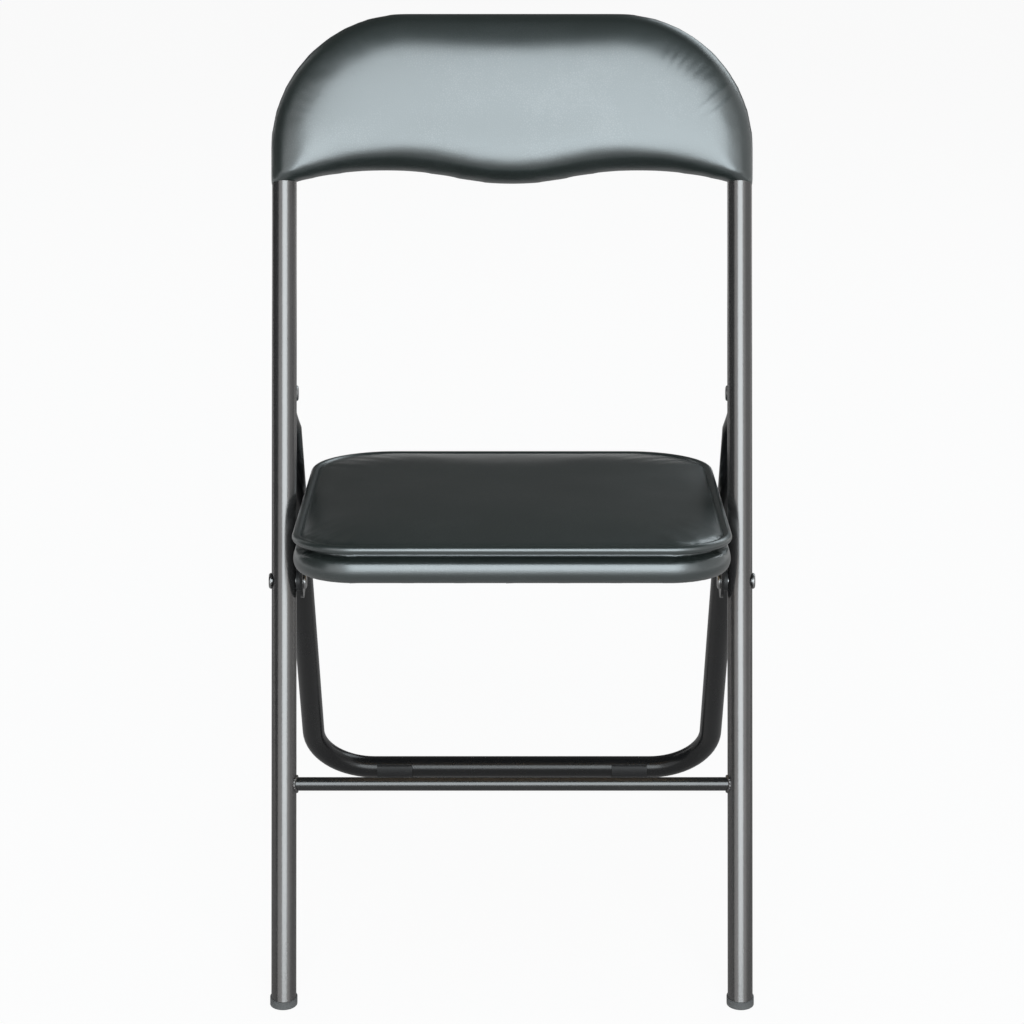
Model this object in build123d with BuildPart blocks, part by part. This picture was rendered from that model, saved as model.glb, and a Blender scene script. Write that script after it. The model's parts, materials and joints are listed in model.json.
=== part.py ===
from build123d import *

import math
import os

# Folding chair: a bent tube front frame that carries the back, a U-shaped rear frame hinged
# behind it, and a padded seat that turns on the front tubes and rests on two pins of the rear
# frame. Millimetres, +Z up, the sitter faces -Y, left is -X. The origin lies on the floor under
# the middle of the chair.

# Tubes of both frames
TUBE_R = 11.0
TUBE_WALL = 1.2
TUBE_SPACING = 402.0

# Front frame: lengths are taken along its tubes, from the floor
FRONT_LEAN = 20.0
FRONT_LENGTH = 861.0
TOP_BEND_R = 107.0
STRETCHER_R = 6.0
STRETCHER_WALL = 1.0
STRETCHER_AT = 193.0
FOOT_LIP = 1.0
FOOT_HEIGHT = 6.0
FOOT_SPIGOT = 30.0

# Rear frame
REAR_BAR_BEHIND = 473.0
REAR_BEND_R = 60.0
FLAT_THICK = 12.0
FLAT_LENGTH = 22.0
FLATTEN_LENGTH = 24.0
GLIDE_THICK = 3.0
GLIDE_LENGTH = 36.0
GLIDE_WIDTH = 18.0
GLIDE_FROM_BEND = 3.0
GLIDE_MOUTH = 6.0

# Hinge of the rear frame, on a clevis behind each front tube
HINGE_AT = 539.0
CLEVIS_WALL = 2.0
CLEVIS_HEIGHT = 32.0
CLEVIS_EYE_R = 12.0
RIVET_R = 4.0
RIVET_HEAD_R = 7.0
RIVET_HEAD_RISE = 2.3
RIVET_HEAD_ROUND = 1.8

# Seat: lengths run rearwards from its pivot, heights are above the pivot
SEAT_PIVOT_AT = 372.0
SEAT_TILT = 6.3
SEAT_FRONT = -180.0
SEAT_DEPTH = 380.0
SEAT_RISE = 43.0
SEAT_EDGE = 30.0
SEAT_CROWN = 9.0
SEAT_FRONT_R = 55.0
SEAT_REAR_R = 75.0
BOARD_THICK = 9.0
BOARD_MARGIN = 6.0
WELT_R = 3.5
BULGE_RISE = 9.0
BULGE_MARGIN = 0.5
WAIST_MARGIN = 2.6
HEM_MARGIN = 3.5

# Seat brackets: an upright web with the pivot and the rest notch, and a flange under the board
BRACKET_WALL = 2.5
BRACKET_GAP = 4.0
BRACKET_FRONT = -32.0
BRACKET_TAIL = 8.6
BRACKET_BOSS_R = 15.0
FLANGE_WIDTH = 28.0
FLANGE_REAR = 140.0
REST_PIN_R = 5.0
REST_PIN_DROP = 15.5
REST_PIN_HEAD_R = 7.5
REST_PIN_INSIDE = 10.0
NOTCH_PLAY = 0.6
NOTCH_FLARE = 14.0
WASHER_R = 9.0
SEAT_SCREW_SPREAD = 65.0
SCREW_R = 2.0
SCREW_HEAD_R = 4.2
SCREW_HEAD_RISE = 2.4
SCREW_BITE = 7.0

# Back: lengths along the front tubes, down from the middle of the top bend's tube
COVER_WALL = 1.2
BACK_SIDE_DROP = 145.0
BACK_CREST_DROP = 127.0
BACK_DIP_DROP = 139.0
BACK_CREST_X = 104.0
BACK_CROWN = 10.0
BACK_REAR_FLAT = 0.5
BACK_BOARD_THICK = 4.0
BACK_BOARD_LIFT = 8.0
BACK_SCREW_DROPS = (113.0, 71.0)

# Sections of the padding: shares of the cover's radius round a tube, and of a dome's outline
WRAP_SHARES = (0.0, 0.6, 0.9)
DOME_SHARES = (1.0, 0.6, 0.2)

# Clearances
RUNNING_FIT = 0.05
WELD_FIT = 0.05
SOFT_FIT = 0.3
SIDE_PLAY = 0.3
BOARD_FIT = 0.3
HINGE_PLAY = 1.146
SEAT_SIDE_GAP = 2.0

HALF_SPACING = TUBE_SPACING / 2
TUBE_INSIDE = HALF_SPACING - TUBE_R
TUBE_OUTSIDE = HALF_SPACING + TUBE_R
BRACKET_OUTSIDE = TUBE_INSIDE - BRACKET_GAP
BRACKET_INSIDE = BRACKET_OUTSIDE - BRACKET_WALL
SEAT_WIDTH = 2 * (BRACKET_OUTSIDE - SEAT_SIDE_GAP)
FOOT_R = TUBE_R + FOOT_LIP

# The flattened end of a rear leg is as wide as the tube's own girth makes it, and turns just
# clear of the clevis's web.
FLAT_WIDTH = FLAT_THICK + math.pi * (2 * TUBE_R - FLAT_THICK) / 2
HINGE_BEHIND = TUBE_R + CLEVIS_WALL + FLAT_WIDTH / 2 + HINGE_PLAY

BACK_SIDE_AT = FRONT_LENGTH - BACK_SIDE_DROP
BACK_CREST_AT = FRONT_LENGTH - BACK_CREST_DROP
BACK_DIP_AT = FRONT_LENGTH - BACK_DIP_DROP
BACK_SCREWS_AT = [FRONT_LENGTH - drop for drop in BACK_SCREW_DROPS]

lean = math.radians(FRONT_LEAN)
tilt = math.radians(SEAT_TILT)
RIGHTWARDS = Vector(1, 0, 0)
UP_FRONT = Vector(0, math.sin(lean), math.cos(lean))

# The front feet stand so that the chair's depth, from the bulge of the seat's front edge to the
# back of the rear glides, is centred on the origin.
bulge_height = SEAT_RISE + BULGE_RISE
seat_reach = (SEAT_FRONT + BULGE_MARGIN) * math.cos(tilt) + bulge_height * math.sin(tilt)
front_reach = SEAT_PIVOT_AT * math.sin(lean) + seat_reach
rear_reach = REAR_BAR_BEHIND + TUBE_R + GLIDE_THICK
FEET_Y = -(front_reach + rear_reach) / 2

# Front plane: x across, y up along the tubes, z forwards
FRONT = Plane(
    origin=(0, FEET_Y, 0),
    x_dir=RIGHTWARDS,
    z_dir=(0, -math.cos(lean), math.sin(lean)),
)
HINGE = FRONT.from_local_coords(Vector(0, HINGE_AT, -HINGE_BEHIND))
PIVOT = FRONT.from_local_coords(Vector(0, SEAT_PIVOT_AT, 0))

# Rear plane: x across, y up along the legs from the bar, z forwards
BAR = Vector(0, FEET_Y + REAR_BAR_BEHIND, GLIDE_THICK + TUBE_R)
LEG = HINGE - BAR
UP_REAR = LEG.normalized()
REAR = Plane(origin=BAR, x_dir=RIGHTWARDS, z_dir=RIGHTWARDS.cross(UP_REAR))

# Seat plane: x across, y rearwards, z up. Side plane: x rearwards, y up, z to the right
SEAT = Plane(origin=PIVOT, x_dir=RIGHTWARDS, z_dir=(0, math.sin(tilt), math.cos(tilt)))
SIDE = Plane(origin=PIVOT, x_dir=SEAT.y_dir, z_dir=RIGHTWARDS)

# The rest pins cross the middle of the rear legs, a little below the seat's underside
hinge_rise = SIDE.to_local_coords(HINGE).Y
REST_PIN_BELOW_HINGE = (hinge_rise - SEAT_RISE + REST_PIN_DROP) / UP_REAR.dot(SEAT.z_dir)
REST_PIN = HINGE - UP_REAR * REST_PIN_BELOW_HINGE
NOTCH = SIDE.to_local_coords(REST_PIN)
NOTCH_R = REST_PIN_R + NOTCH_PLAY
BRACKET_REAR = NOTCH.X + NOTCH_R + BRACKET_TAIL

SEAT_MIDDLE = SEAT_FRONT + SEAT_DEPTH / 2
BACK_MIDDLE_AT = (BACK_DIP_AT + FRONT_LENGTH) / 2
SEAT_TOP = SEAT_RISE + SEAT_EDGE
WELT_HEIGHT = SEAT_TOP - WELT_R
MIN_ALIGN = (Align.CENTER, Align.CENTER, Align.MIN)
MAX_ALIGN = (Align.CENTER, Align.CENTER, Align.MAX)


def save(piece, name):
    """Label a piece and write it as its own file."""
    piece.label = name
    export_step(piece, f"parts/{name}.step")


def save_pair(right, name):
    """Write a right-hand piece and its mirror image on the left."""
    save(right, f"{name}_right")
    with BuildPart() as left:
        mirror(right, about=Plane.YZ)
    save(left.part, f"{name}_left")


def across(point, x):
    """Return a plane square to the X axis through a point's Y and Z, at the given X."""
    return Plane(origin=(x, point.Y, point.Z), x_dir=(0, 1, 0), z_dir=RIGHTWARDS)


def rivet(point, inside, outside, shank_r, head_r):
    """Return a right-hand rivet along X, with a domed head beyond each end of its shank."""
    with BuildPart(across(point, inside)) as piece:
        Cylinder(shank_r, outside - inside, align=MIN_ALIGN)
        Cylinder(head_r, RIVET_HEAD_RISE, align=MAX_ALIGN)
        with Locations((0, 0, outside - inside)):
            Cylinder(head_r, RIVET_HEAD_RISE, align=MIN_ALIGN)
        rims = piece.edges().filter_by(GeomType.CIRCLE).sort_by(Axis.X)
        fillet([rims[0], rims[-1]], RIVET_HEAD_ROUND)
    return piece.part


def ring(point, inside, outside, outer_r, hole_r):
    """Return a right-hand washer along X."""
    with BuildPart(across(point, inside)) as piece:
        Cylinder(outer_r, outside - inside, align=MIN_ALIGN)
        Cylinder(hole_r, outside - inside, align=MIN_ALIGN, mode=Mode.SUBTRACT)
    return piece.part


def seat_section(height, margin):
    """Return the seat's plan outline, drawn in by a margin, at a height above the pivot."""
    with BuildSketch(SEAT.offset(height)) as section:
        with Locations((0, SEAT_MIDDLE)):
            Rectangle(SEAT_WIDTH - 2 * margin, SEAT_DEPTH - 2 * margin)
        fillet(section.vertices().group_by(Axis.Y)[0], SEAT_FRONT_R - margin)
        fillet(section.vertices().group_by(Axis.Y)[-1], SEAT_REAR_R - margin)
    return section.sketch


def dome(share):
    """Return the rise of a shallow dome, from 0 at its rim to 1 at its smallest section."""
    return (1 - share**2) / (1 - DOME_SHARES[-1] ** 2)


def crown_section(height, share):
    """Return the seat's plan outline, shrunk about its middle, at a height above the pivot."""
    rim = SEAT_WIDTH / 2 - 2 * WELT_R
    half_depth = SEAT_DEPTH / 2 - 2 * WELT_R
    with BuildSketch(SEAT.offset(height)) as section:
        with Locations((0, SEAT_MIDDLE)):
            Rectangle(2 * rim * share, 2 * half_depth * share)
        fillet(section.vertices().group_by(Axis.Y)[0], (SEAT_FRONT_R - 2 * WELT_R) * share)
        fillet(section.vertices().group_by(Axis.Y)[-1], (SEAT_REAR_R - 2 * WELT_R) * share)
    return section.sketch


def back_section(depth, margin, share=1.0):
    """Return the back's outline with its wavy hem, at a depth forwards of the tubes' middle.

    The outline is drawn in by the margin, then shrunk to a share about the middle of the back.
    """
    side = TUBE_OUTSIDE + COVER_WALL - margin
    top = FRONT_LENGTH + TUBE_R + COVER_WALL - margin
    bend = TOP_BEND_R + TUBE_R + COVER_WALL - margin
    crest_x = BACK_CREST_X * side / TUBE_OUTSIDE
    shoulder = top - bend
    corner = bend * math.sqrt(0.5)

    def place(x, at):
        return (x * share, BACK_MIDDLE_AT + (at - BACK_MIDDLE_AT) * share)

    with BuildSketch(FRONT.offset(depth)) as section:
        with BuildLine():
            for sign in (-1, 1):
                hem_end = place(sign * side, BACK_SIDE_AT + margin)
                dip_end = place(sign * crest_x / 2, (BACK_CREST_AT + BACK_DIP_AT) / 2 + margin)
                ThreePointArc(hem_end, place(sign * crest_x, BACK_CREST_AT + margin), dip_end)
                Line(hem_end, place(sign * side, shoulder))
                ThreePointArc(
                    place(sign * side, shoulder),
                    place(sign * (side - bend + corner), shoulder + corner),
                    place(sign * (side - bend), top),
                )
            dip_middle = place(0, BACK_DIP_AT + margin)
            ThreePointArc((-dip_end[0], dip_end[1]), dip_middle, dip_end)
            Line(place(bend - side, top), place(side - bend, top))
        make_face()
    return section.sketch


def front_path():
    """Return the centre line of the front frame's tube, from below one foot to below the other."""
    with BuildLine(FRONT) as line:
        FilletPolyline(
            (-HALF_SPACING, -TUBE_R),
            (-HALF_SPACING, FRONT_LENGTH),
            (HALF_SPACING, FRONT_LENGTH),
            (HALF_SPACING, -TUBE_R),
            radius=TOP_BEND_R,
        )
    return line.line


def sweep_round(path, radius, mode):
    """Sweep a disc along a path."""
    with BuildSketch(Plane(origin=path @ 0, z_dir=path % 0)) as section:
        Circle(radius)
    sweep(section.sketch, path=path, mode=mode)


os.makedirs("parts", exist_ok=True)

# Front frame: one tube bent over the back, cut level at the floor, with holes for the seat pivots
# and the back's screws
with BuildPart() as front_frame:
    sweep_round(front_path(), TUBE_R, Mode.ADD)
    sweep_round(front_path(), TUBE_R - TUBE_WALL, Mode.SUBTRACT)
    split(bisect_by=Plane.XY.offset(FOOT_HEIGHT), keep=Keep.TOP)
    with BuildSketch(across(PIVOT, 0)):
        Circle(RIVET_R + RUNNING_FIT)
    extrude(amount=TUBE_SPACING, both=True, mode=Mode.SUBTRACT)
    with BuildSketch(FRONT):
        with Locations(*[(sign * HALF_SPACING, at) for sign in (-1, 1) for at in BACK_SCREWS_AT]):
            Circle(SCREW_R + RUNNING_FIT)
    extrude(amount=-2 * TUBE_R, mode=Mode.SUBTRACT)
save(front_frame.part, "front_frame")

# Stretcher between the front tubes, its ends coped to their round sides
with BuildPart() as front_stretcher:
    with BuildSketch(across(FRONT.from_local_coords(Vector(0, STRETCHER_AT, 0)), 0)):
        Circle(STRETCHER_R)
        Circle(STRETCHER_R - STRETCHER_WALL, mode=Mode.SUBTRACT)
    extrude(amount=HALF_SPACING, both=True)
    with BuildSketch(Plane(origin=FRONT.origin, x_dir=RIGHTWARDS, z_dir=UP_FRONT)):
        with Locations((-HALF_SPACING, 0), (HALF_SPACING, 0)):
            Circle(TUBE_R + WELD_FIT)
    extrude(amount=2 * STRETCHER_AT, mode=Mode.SUBTRACT)
save(front_stretcher.part, "front_stretcher")

# Front foot: a level sole under the cut tube and a spigot inside it
with BuildPart() as front_foot:
    with BuildSketch(Plane(origin=(HALF_SPACING, FEET_Y, 0))):
        Ellipse(FOOT_R, FOOT_R / math.cos(lean))
    extrude(amount=FOOT_HEIGHT / math.cos(lean), dir=UP_FRONT)
    spigot_foot = FRONT.from_local_coords(Vector(HALF_SPACING, FOOT_HEIGHT, 0))
    with BuildSketch(Plane(origin=spigot_foot, x_dir=RIGHTWARDS, z_dir=UP_FRONT)):
        Circle(TUBE_R - TUBE_WALL - WELD_FIT)
    extrude(amount=FOOT_SPIGOT)
save_pair(front_foot.part, "front_foot")

# Hinge clevis: two cheeks and a web welded to the back of the front tube
hinge_at_side = FRONT.from_local_coords(Vector(HALF_SPACING, HINGE_AT, -HINGE_BEHIND))
tube_at_hinge = FRONT.from_local_coords(Vector(HALF_SPACING, HINGE_AT, 0))
cheek_gap = FLAT_THICK / 2 + SIDE_PLAY
with BuildPart() as hinge_clevis:
    profile = Plane(origin=hinge_at_side, x_dir=-FRONT.z_dir, z_dir=RIGHTWARDS)
    with BuildSketch(profile):
        Circle(CLEVIS_EYE_R)
        with Locations((-HINGE_BEHIND, 0)):
            Rectangle(TUBE_R, CLEVIS_HEIGHT, align=(Align.MIN, Align.CENTER))
        make_hull()
    extrude(amount=cheek_gap + CLEVIS_WALL, both=True)
    with BuildSketch(profile):
        with Locations((TUBE_R + CLEVIS_WALL - HINGE_BEHIND, 0)):
            Rectangle(2 * HINGE_BEHIND, 2 * CLEVIS_HEIGHT, align=(Align.MIN, Align.CENTER))
    extrude(amount=cheek_gap, both=True, mode=Mode.SUBTRACT)
    with BuildSketch(profile):
        Circle(RIVET_R + RUNNING_FIT)
    extrude(amount=TUBE_R, both=True, mode=Mode.SUBTRACT)
    with BuildSketch(Plane(origin=tube_at_hinge, z_dir=UP_FRONT)):
        Circle(TUBE_R + WELD_FIT)
    extrude(amount=CLEVIS_HEIGHT, both=True, mode=Mode.SUBTRACT)
save_pair(hinge_clevis.part, "hinge_clevis")

hinge_half = cheek_gap + CLEVIS_WALL
hinge_rivet = rivet(HINGE, HALF_SPACING - hinge_half, HALF_SPACING + hinge_half, RIVET_R, RIVET_HEAD_R)
save_pair(hinge_rivet, "hinge_rivet")

# Seat pivot: a long rivet through the front tube, and a spacer between the tube and the bracket
seat_rivet = rivet(PIVOT, BRACKET_INSIDE - SIDE_PLAY, TUBE_OUTSIDE, RIVET_R, RIVET_HEAD_R)
save_pair(seat_rivet, "seat_pivot_rivet")
pivot_spacer = ring(PIVOT, BRACKET_OUTSIDE + SIDE_PLAY, TUBE_INSIDE, WASHER_R, RIVET_R + RUNNING_FIT)
save_pair(pivot_spacer, "seat_pivot_spacer")

# Rear frame: one tube bent to a U, each end pressed flat and cropped round about the hinge
leg_length = LEG.length
with BuildPart() as rear_frame:
    for wall, mode in ((0, Mode.ADD), (TUBE_WALL, Mode.SUBTRACT)):
        round_end = leg_length - FLAT_LENGTH - FLATTEN_LENGTH
        with BuildLine(REAR) as rear_line:
            FilletPolyline(
                (-HALF_SPACING, round_end),
                (-HALF_SPACING, 0),
                (HALF_SPACING, 0),
                (HALF_SPACING, round_end),
                radius=REAR_BEND_R,
            )
        sweep_round(rear_line.line, TUBE_R - wall, mode)
        for sign in (-1, 1):
            round_at = REAR.from_local_coords(Vector(sign * HALF_SPACING, round_end, 0))
            flat_at = round_at + UP_REAR * FLATTEN_LENGTH
            with BuildSketch(Plane(origin=round_at, x_dir=RIGHTWARDS, z_dir=UP_REAR)):
                Circle(TUBE_R - wall)
            with BuildSketch(Plane(origin=flat_at, x_dir=RIGHTWARDS, z_dir=UP_REAR)):
                SlotOverall(FLAT_WIDTH - 2 * wall, FLAT_THICK - 2 * wall, rotation=90)
            loft(mode=mode)
            with BuildSketch(Plane(origin=flat_at, x_dir=RIGHTWARDS, z_dir=UP_REAR)):
                SlotOverall(FLAT_WIDTH - 2 * wall, FLAT_THICK - 2 * wall, rotation=90)
            extrude(amount=FLAT_LENGTH + FLAT_WIDTH / 2, mode=mode)
    eye = Plane(origin=HINGE, x_dir=REAR.z_dir, z_dir=-RIGHTWARDS)
    with BuildSketch(eye):
        Rectangle(2 * FLAT_WIDTH, FLAT_WIDTH, align=(Align.CENTER, Align.MIN))
        Circle(FLAT_WIDTH / 2, mode=Mode.SUBTRACT)
    extrude(amount=TUBE_SPACING, both=True, mode=Mode.SUBTRACT)
    with BuildSketch(eye):
        Circle(RIVET_R + RUNNING_FIT)
        with Locations((0, -REST_PIN_BELOW_HINGE)):
            Circle(REST_PIN_R + RUNNING_FIT)
    extrude(amount=TUBE_SPACING, both=True, mode=Mode.SUBTRACT)
save(rear_frame.part, "rear_frame")

# Glides: clips with a flat sole, snapped on the rear bar from below
with BuildPart() as rear_glide:
    glide_x = HALF_SPACING - REAR_BEND_R - GLIDE_FROM_BEND - GLIDE_LENGTH
    with BuildSketch(across(BAR, glide_x)):
        Circle(TUBE_R + GLIDE_THICK)
        with Locations((0, -TUBE_R - GLIDE_THICK)):
            Rectangle(GLIDE_WIDTH, TUBE_R, align=(Align.CENTER, Align.MIN))
        Circle(TUBE_R + WELD_FIT, mode=Mode.SUBTRACT)
        with Locations((0, GLIDE_MOUTH)):
            Rectangle(4 * TUBE_R, 2 * TUBE_R, align=(Align.CENTER, Align.MIN), mode=Mode.SUBTRACT)
    extrude(amount=GLIDE_LENGTH)
save_pair(rear_glide.part, "rear_glide")

# Rest pins of the seat, through the rear tubes, each with a washer beside the tube
with BuildPart(across(REST_PIN, BRACKET_INSIDE - REST_PIN_INSIDE)) as rest_pin:
    pin_length = TUBE_OUTSIDE - BRACKET_INSIDE + REST_PIN_INSIDE
    Cylinder(REST_PIN_R, pin_length, align=MIN_ALIGN)
    with Locations((0, 0, pin_length)):
        Cylinder(REST_PIN_HEAD_R, RIVET_HEAD_RISE, align=MIN_ALIGN)
    rims = rest_pin.edges().filter_by(GeomType.CIRCLE).sort_by(Axis.X)
    fillet([rims[0], rims[-1]], RIVET_HEAD_ROUND)
save_pair(rest_pin.part, "rest_pin")
rest_washer = ring(REST_PIN, BRACKET_OUTSIDE + SIDE_PLAY, TUBE_INSIDE, WASHER_R, REST_PIN_R + RUNNING_FIT)
save_pair(rest_washer, "rest_washer")

# Seat brackets: the web hangs from the flange to the pivot, with a notch that sits on the rest pin
screw_x = BRACKET_OUTSIDE - FLANGE_WIDTH / 2
screw_middle = (BRACKET_FRONT + FLANGE_REAR) / 2
screw_places = [screw_middle + step * SEAT_SCREW_SPREAD for step in (-1, 0, 1)]
NOTCH_Rear = (NOTCH.X + NOTCH_R, NOTCH.Y)
notch_front = (NOTCH.X - NOTCH_R, NOTCH.Y)
mouth_rear = (NOTCH.X + NOTCH_R, NOTCH.Y - NOTCH_FLARE)
mouth_front = (NOTCH.X - NOTCH_R - NOTCH_FLARE, NOTCH.Y - NOTCH_FLARE)
with BuildPart() as seat_bracket:
    with BuildSketch(SIDE.offset(BRACKET_INSIDE)):
        Circle(BRACKET_BOSS_R)
        with Locations((BRACKET_FRONT, SEAT_RISE)):
            Rectangle(BRACKET_REAR - BRACKET_FRONT, SEAT_RISE - NOTCH.Y, align=(Align.MIN, Align.MAX))
        make_hull()
        Circle(RIVET_R + RUNNING_FIT, mode=Mode.SUBTRACT)
        with BuildLine():
            Polyline(NOTCH_Rear, mouth_rear, mouth_front, notch_front)
            ThreePointArc(notch_front, (NOTCH.X, NOTCH.Y + NOTCH_R), NOTCH_Rear)
        make_face(mode=Mode.SUBTRACT)
    extrude(amount=BRACKET_WALL)
    with BuildSketch(SEAT.offset(SEAT_RISE)):
        with Locations((BRACKET_OUTSIDE, BRACKET_FRONT)):
            Rectangle(FLANGE_WIDTH, FLANGE_REAR - BRACKET_FRONT, align=(Align.MAX, Align.MIN))
        with Locations(*[(screw_x, at) for at in screw_places]):
            Circle(SCREW_R + RUNNING_FIT, mode=Mode.SUBTRACT)
    extrude(amount=-BRACKET_WALL)
save_pair(seat_bracket.part, "seat_bracket")

# Seat board, with blind holes for its screws
with BuildPart() as seat_board:
    extrude(seat_section(SEAT_RISE, BOARD_MARGIN), amount=BOARD_THICK)
    with BuildSketch(SEAT.offset(SEAT_RISE)):
        with Locations(*[(sign * screw_x, at) for sign in (-1, 1) for at in screw_places]):
            Circle(SCREW_R + RUNNING_FIT)
    extrude(amount=SCREW_BITE + SOFT_FIT, mode=Mode.SUBTRACT)
save(seat_board.part, "seat_board")

# Seat screws, up through the flanges into the board
with BuildPart(SEAT) as seat_screws:
    flange_under = SEAT_RISE - BRACKET_WALL
    with Locations(*[(sign * screw_x, at, flange_under) for sign in (-1, 1) for at in screw_places]):
        Cylinder(SCREW_R, BRACKET_WALL + SCREW_BITE, align=MIN_ALIGN)
        Cylinder(SCREW_HEAD_R, SCREW_HEAD_RISE, align=MAX_ALIGN)
save(seat_screws.part, "seat_screws")

# Welt: a round cord sewn along the seat's top edge
welt_path = seat_section(WELT_HEIGHT, WELT_R).face().outer_wire()
with BuildPart() as seat_welt:
    sweep_round(welt_path, WELT_R, Mode.ADD)
save(seat_welt.part, "seat_welt")

# Seat pad: a side band that bulges below the welt, and a crowned top, hollow under for the board
with BuildPart() as seat_pad:
    band = [
        seat_section(SEAT_RISE, HEM_MARGIN),
        seat_section(bulge_height, BULGE_MARGIN),
        seat_section(WELT_HEIGHT - WELT_R, WAIST_MARGIN),
    ]
    loft(band)
    extrude(crown_section(WELT_HEIGHT - WELT_R, 1.0), amount=2 * WELT_R)
    loft([crown_section(SEAT_TOP + SEAT_CROWN * dome(share), share) for share in DOME_SHARES])
    extrude(seat_section(SEAT_RISE, BOARD_MARGIN - BOARD_FIT), amount=BOARD_THICK, mode=Mode.SUBTRACT)
    sweep_round(welt_path, WELT_R + SOFT_FIT, Mode.SUBTRACT)
save(seat_pad.part, "seat_pad")

# Back board, inside the bend of the tube
with BuildPart() as back_board:
    board_side = TUBE_INSIDE - SOFT_FIT
    board_foot = BACK_CREST_AT + BACK_BOARD_LIFT
    board_top = FRONT_LENGTH - TUBE_R - SOFT_FIT
    with BuildSketch(FRONT.offset(-BACK_BOARD_THICK / 2)) as board_outline:
        Rectangle(2 * board_side, board_top, align=(Align.CENTER, Align.MIN))
        fillet(board_outline.vertices().group_by(Axis.Y)[-1], TOP_BEND_R - TUBE_R - SOFT_FIT)
        Rectangle(2 * board_side, board_foot, align=(Align.CENTER, Align.MIN), mode=Mode.SUBTRACT)
    extrude(amount=BACK_BOARD_THICK)
save(back_board.part, "back_board")

wrap_r = TUBE_R + COVER_WALL
wrap_depths = [wrap_r * share for share in WRAP_SHARES]
screw_seat = wrap_r - COVER_WALL / 2


def cut_back_inside():
    """Cut the room for the tube and the board out of a half of the back's padding."""
    sweep_round(front_path(), TUBE_R + SOFT_FIT, Mode.SUBTRACT)
    with BuildSketch(FRONT.offset(-BACK_BOARD_THICK / 2 - BOARD_FIT)) as room:
        add(board_outline.sketch_local)
        offset(amount=BOARD_FIT, kind=Kind.ARC)
    extrude(room.sketch, amount=BACK_BOARD_THICK + 2 * BOARD_FIT, mode=Mode.SUBTRACT)


def wrap_margin(depth):
    """Return how far a cover wrapped round the tube has drawn in at a depth from its middle."""
    return wrap_r - math.sqrt(wrap_r**2 - depth**2)


# Back pad: the padded front half, wrapped round the front of the tube and crowned between
with BuildPart() as back_pad:
    loft([back_section(depth, wrap_margin(depth)) for depth in wrap_depths])
    edge = wrap_depths[-1]
    rise = wrap_r + BACK_CROWN - edge
    loft([back_section(edge + rise * dome(share), wrap_margin(edge), share) for share in DOME_SHARES])
    cut_back_inside()
save(back_pad.part, "back_pad")

# Back cover: the flat rear half, with spot faces for its screws
with BuildPart() as back_cover:
    loft([back_section(-depth, wrap_margin(depth)) for depth in wrap_depths])
    flat = [
        back_section(-wrap_depths[-1], wrap_margin(wrap_depths[-1])),
        back_section(-wrap_r - BACK_REAR_FLAT, wrap_r),
    ]
    loft(flat)
    cut_back_inside()
    with BuildSketch(FRONT.offset(-screw_seat)):
        with Locations(*[(sign * HALF_SPACING, at) for sign in (-1, 1) for at in BACK_SCREWS_AT]):
            Circle(SCREW_HEAD_R + SOFT_FIT)
    extrude(amount=-TUBE_R, mode=Mode.SUBTRACT)
    with BuildSketch(FRONT):
        with Locations(*[(sign * HALF_SPACING, at) for sign in (-1, 1) for at in BACK_SCREWS_AT]):
            Circle(SCREW_R + RUNNING_FIT)
    extrude(amount=-2 * TUBE_R, mode=Mode.SUBTRACT)
save(back_cover.part, "back_cover")

# Back screws, forwards through the cover into the back of the tube
with BuildPart(FRONT) as back_screws:
    places = [(sign * HALF_SPACING, at, -screw_seat) for sign in (-1, 1) for at in BACK_SCREWS_AT]
    with Locations(*places):
        Cylinder(SCREW_R, SCREW_BITE, align=MIN_ALIGN)
        Cylinder(SCREW_HEAD_R, SCREW_HEAD_RISE, align=MAX_ALIGN)
save(back_screws.part, "back_screws")
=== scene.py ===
"""Looks of a padded folding chair: finishes, cushions, welds, screws, studio and camera.

Metres, +Z up, the sitter faces -Y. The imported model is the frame, and every piece made here rides
on one of its bodies.
"""

import json
import logging
import math
from dataclasses import dataclass, field
from enum import Enum
from typing import Any, Callable, Iterable, NamedTuple, Sequence

import bmesh
import bpy
from mathutils import Matrix, Vector, noise


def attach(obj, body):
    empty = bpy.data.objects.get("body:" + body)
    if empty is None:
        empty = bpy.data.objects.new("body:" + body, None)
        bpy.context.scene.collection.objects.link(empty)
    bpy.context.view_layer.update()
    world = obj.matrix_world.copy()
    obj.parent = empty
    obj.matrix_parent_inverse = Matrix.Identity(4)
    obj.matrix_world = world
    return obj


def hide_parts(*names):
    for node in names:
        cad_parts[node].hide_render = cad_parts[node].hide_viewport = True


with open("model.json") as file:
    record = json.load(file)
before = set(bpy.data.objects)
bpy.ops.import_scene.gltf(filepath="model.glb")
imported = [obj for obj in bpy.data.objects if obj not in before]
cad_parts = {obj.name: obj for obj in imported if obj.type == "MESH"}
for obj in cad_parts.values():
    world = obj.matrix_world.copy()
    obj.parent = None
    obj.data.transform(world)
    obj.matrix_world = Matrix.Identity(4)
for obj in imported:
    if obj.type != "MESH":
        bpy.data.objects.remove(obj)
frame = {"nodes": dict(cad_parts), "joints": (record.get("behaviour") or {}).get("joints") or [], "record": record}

LOG = logging.getLogger("folding_chair")
MM = 0.001
WHITE = (1.0, 1.0, 1.0, 1.0)

Colour = tuple[float, float, float]
Edge = bmesh.types.BMEdge
Mesh = bmesh.types.BMesh
Piece = bpy.types.Object
Socket = bpy.types.NodeSocket
Vert = bmesh.types.BMVert


class Body(Enum):
    """Moving bodies of the chair."""

    FRONT = "front"
    REAR = "rear"
    SEAT = "seat"


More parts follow.
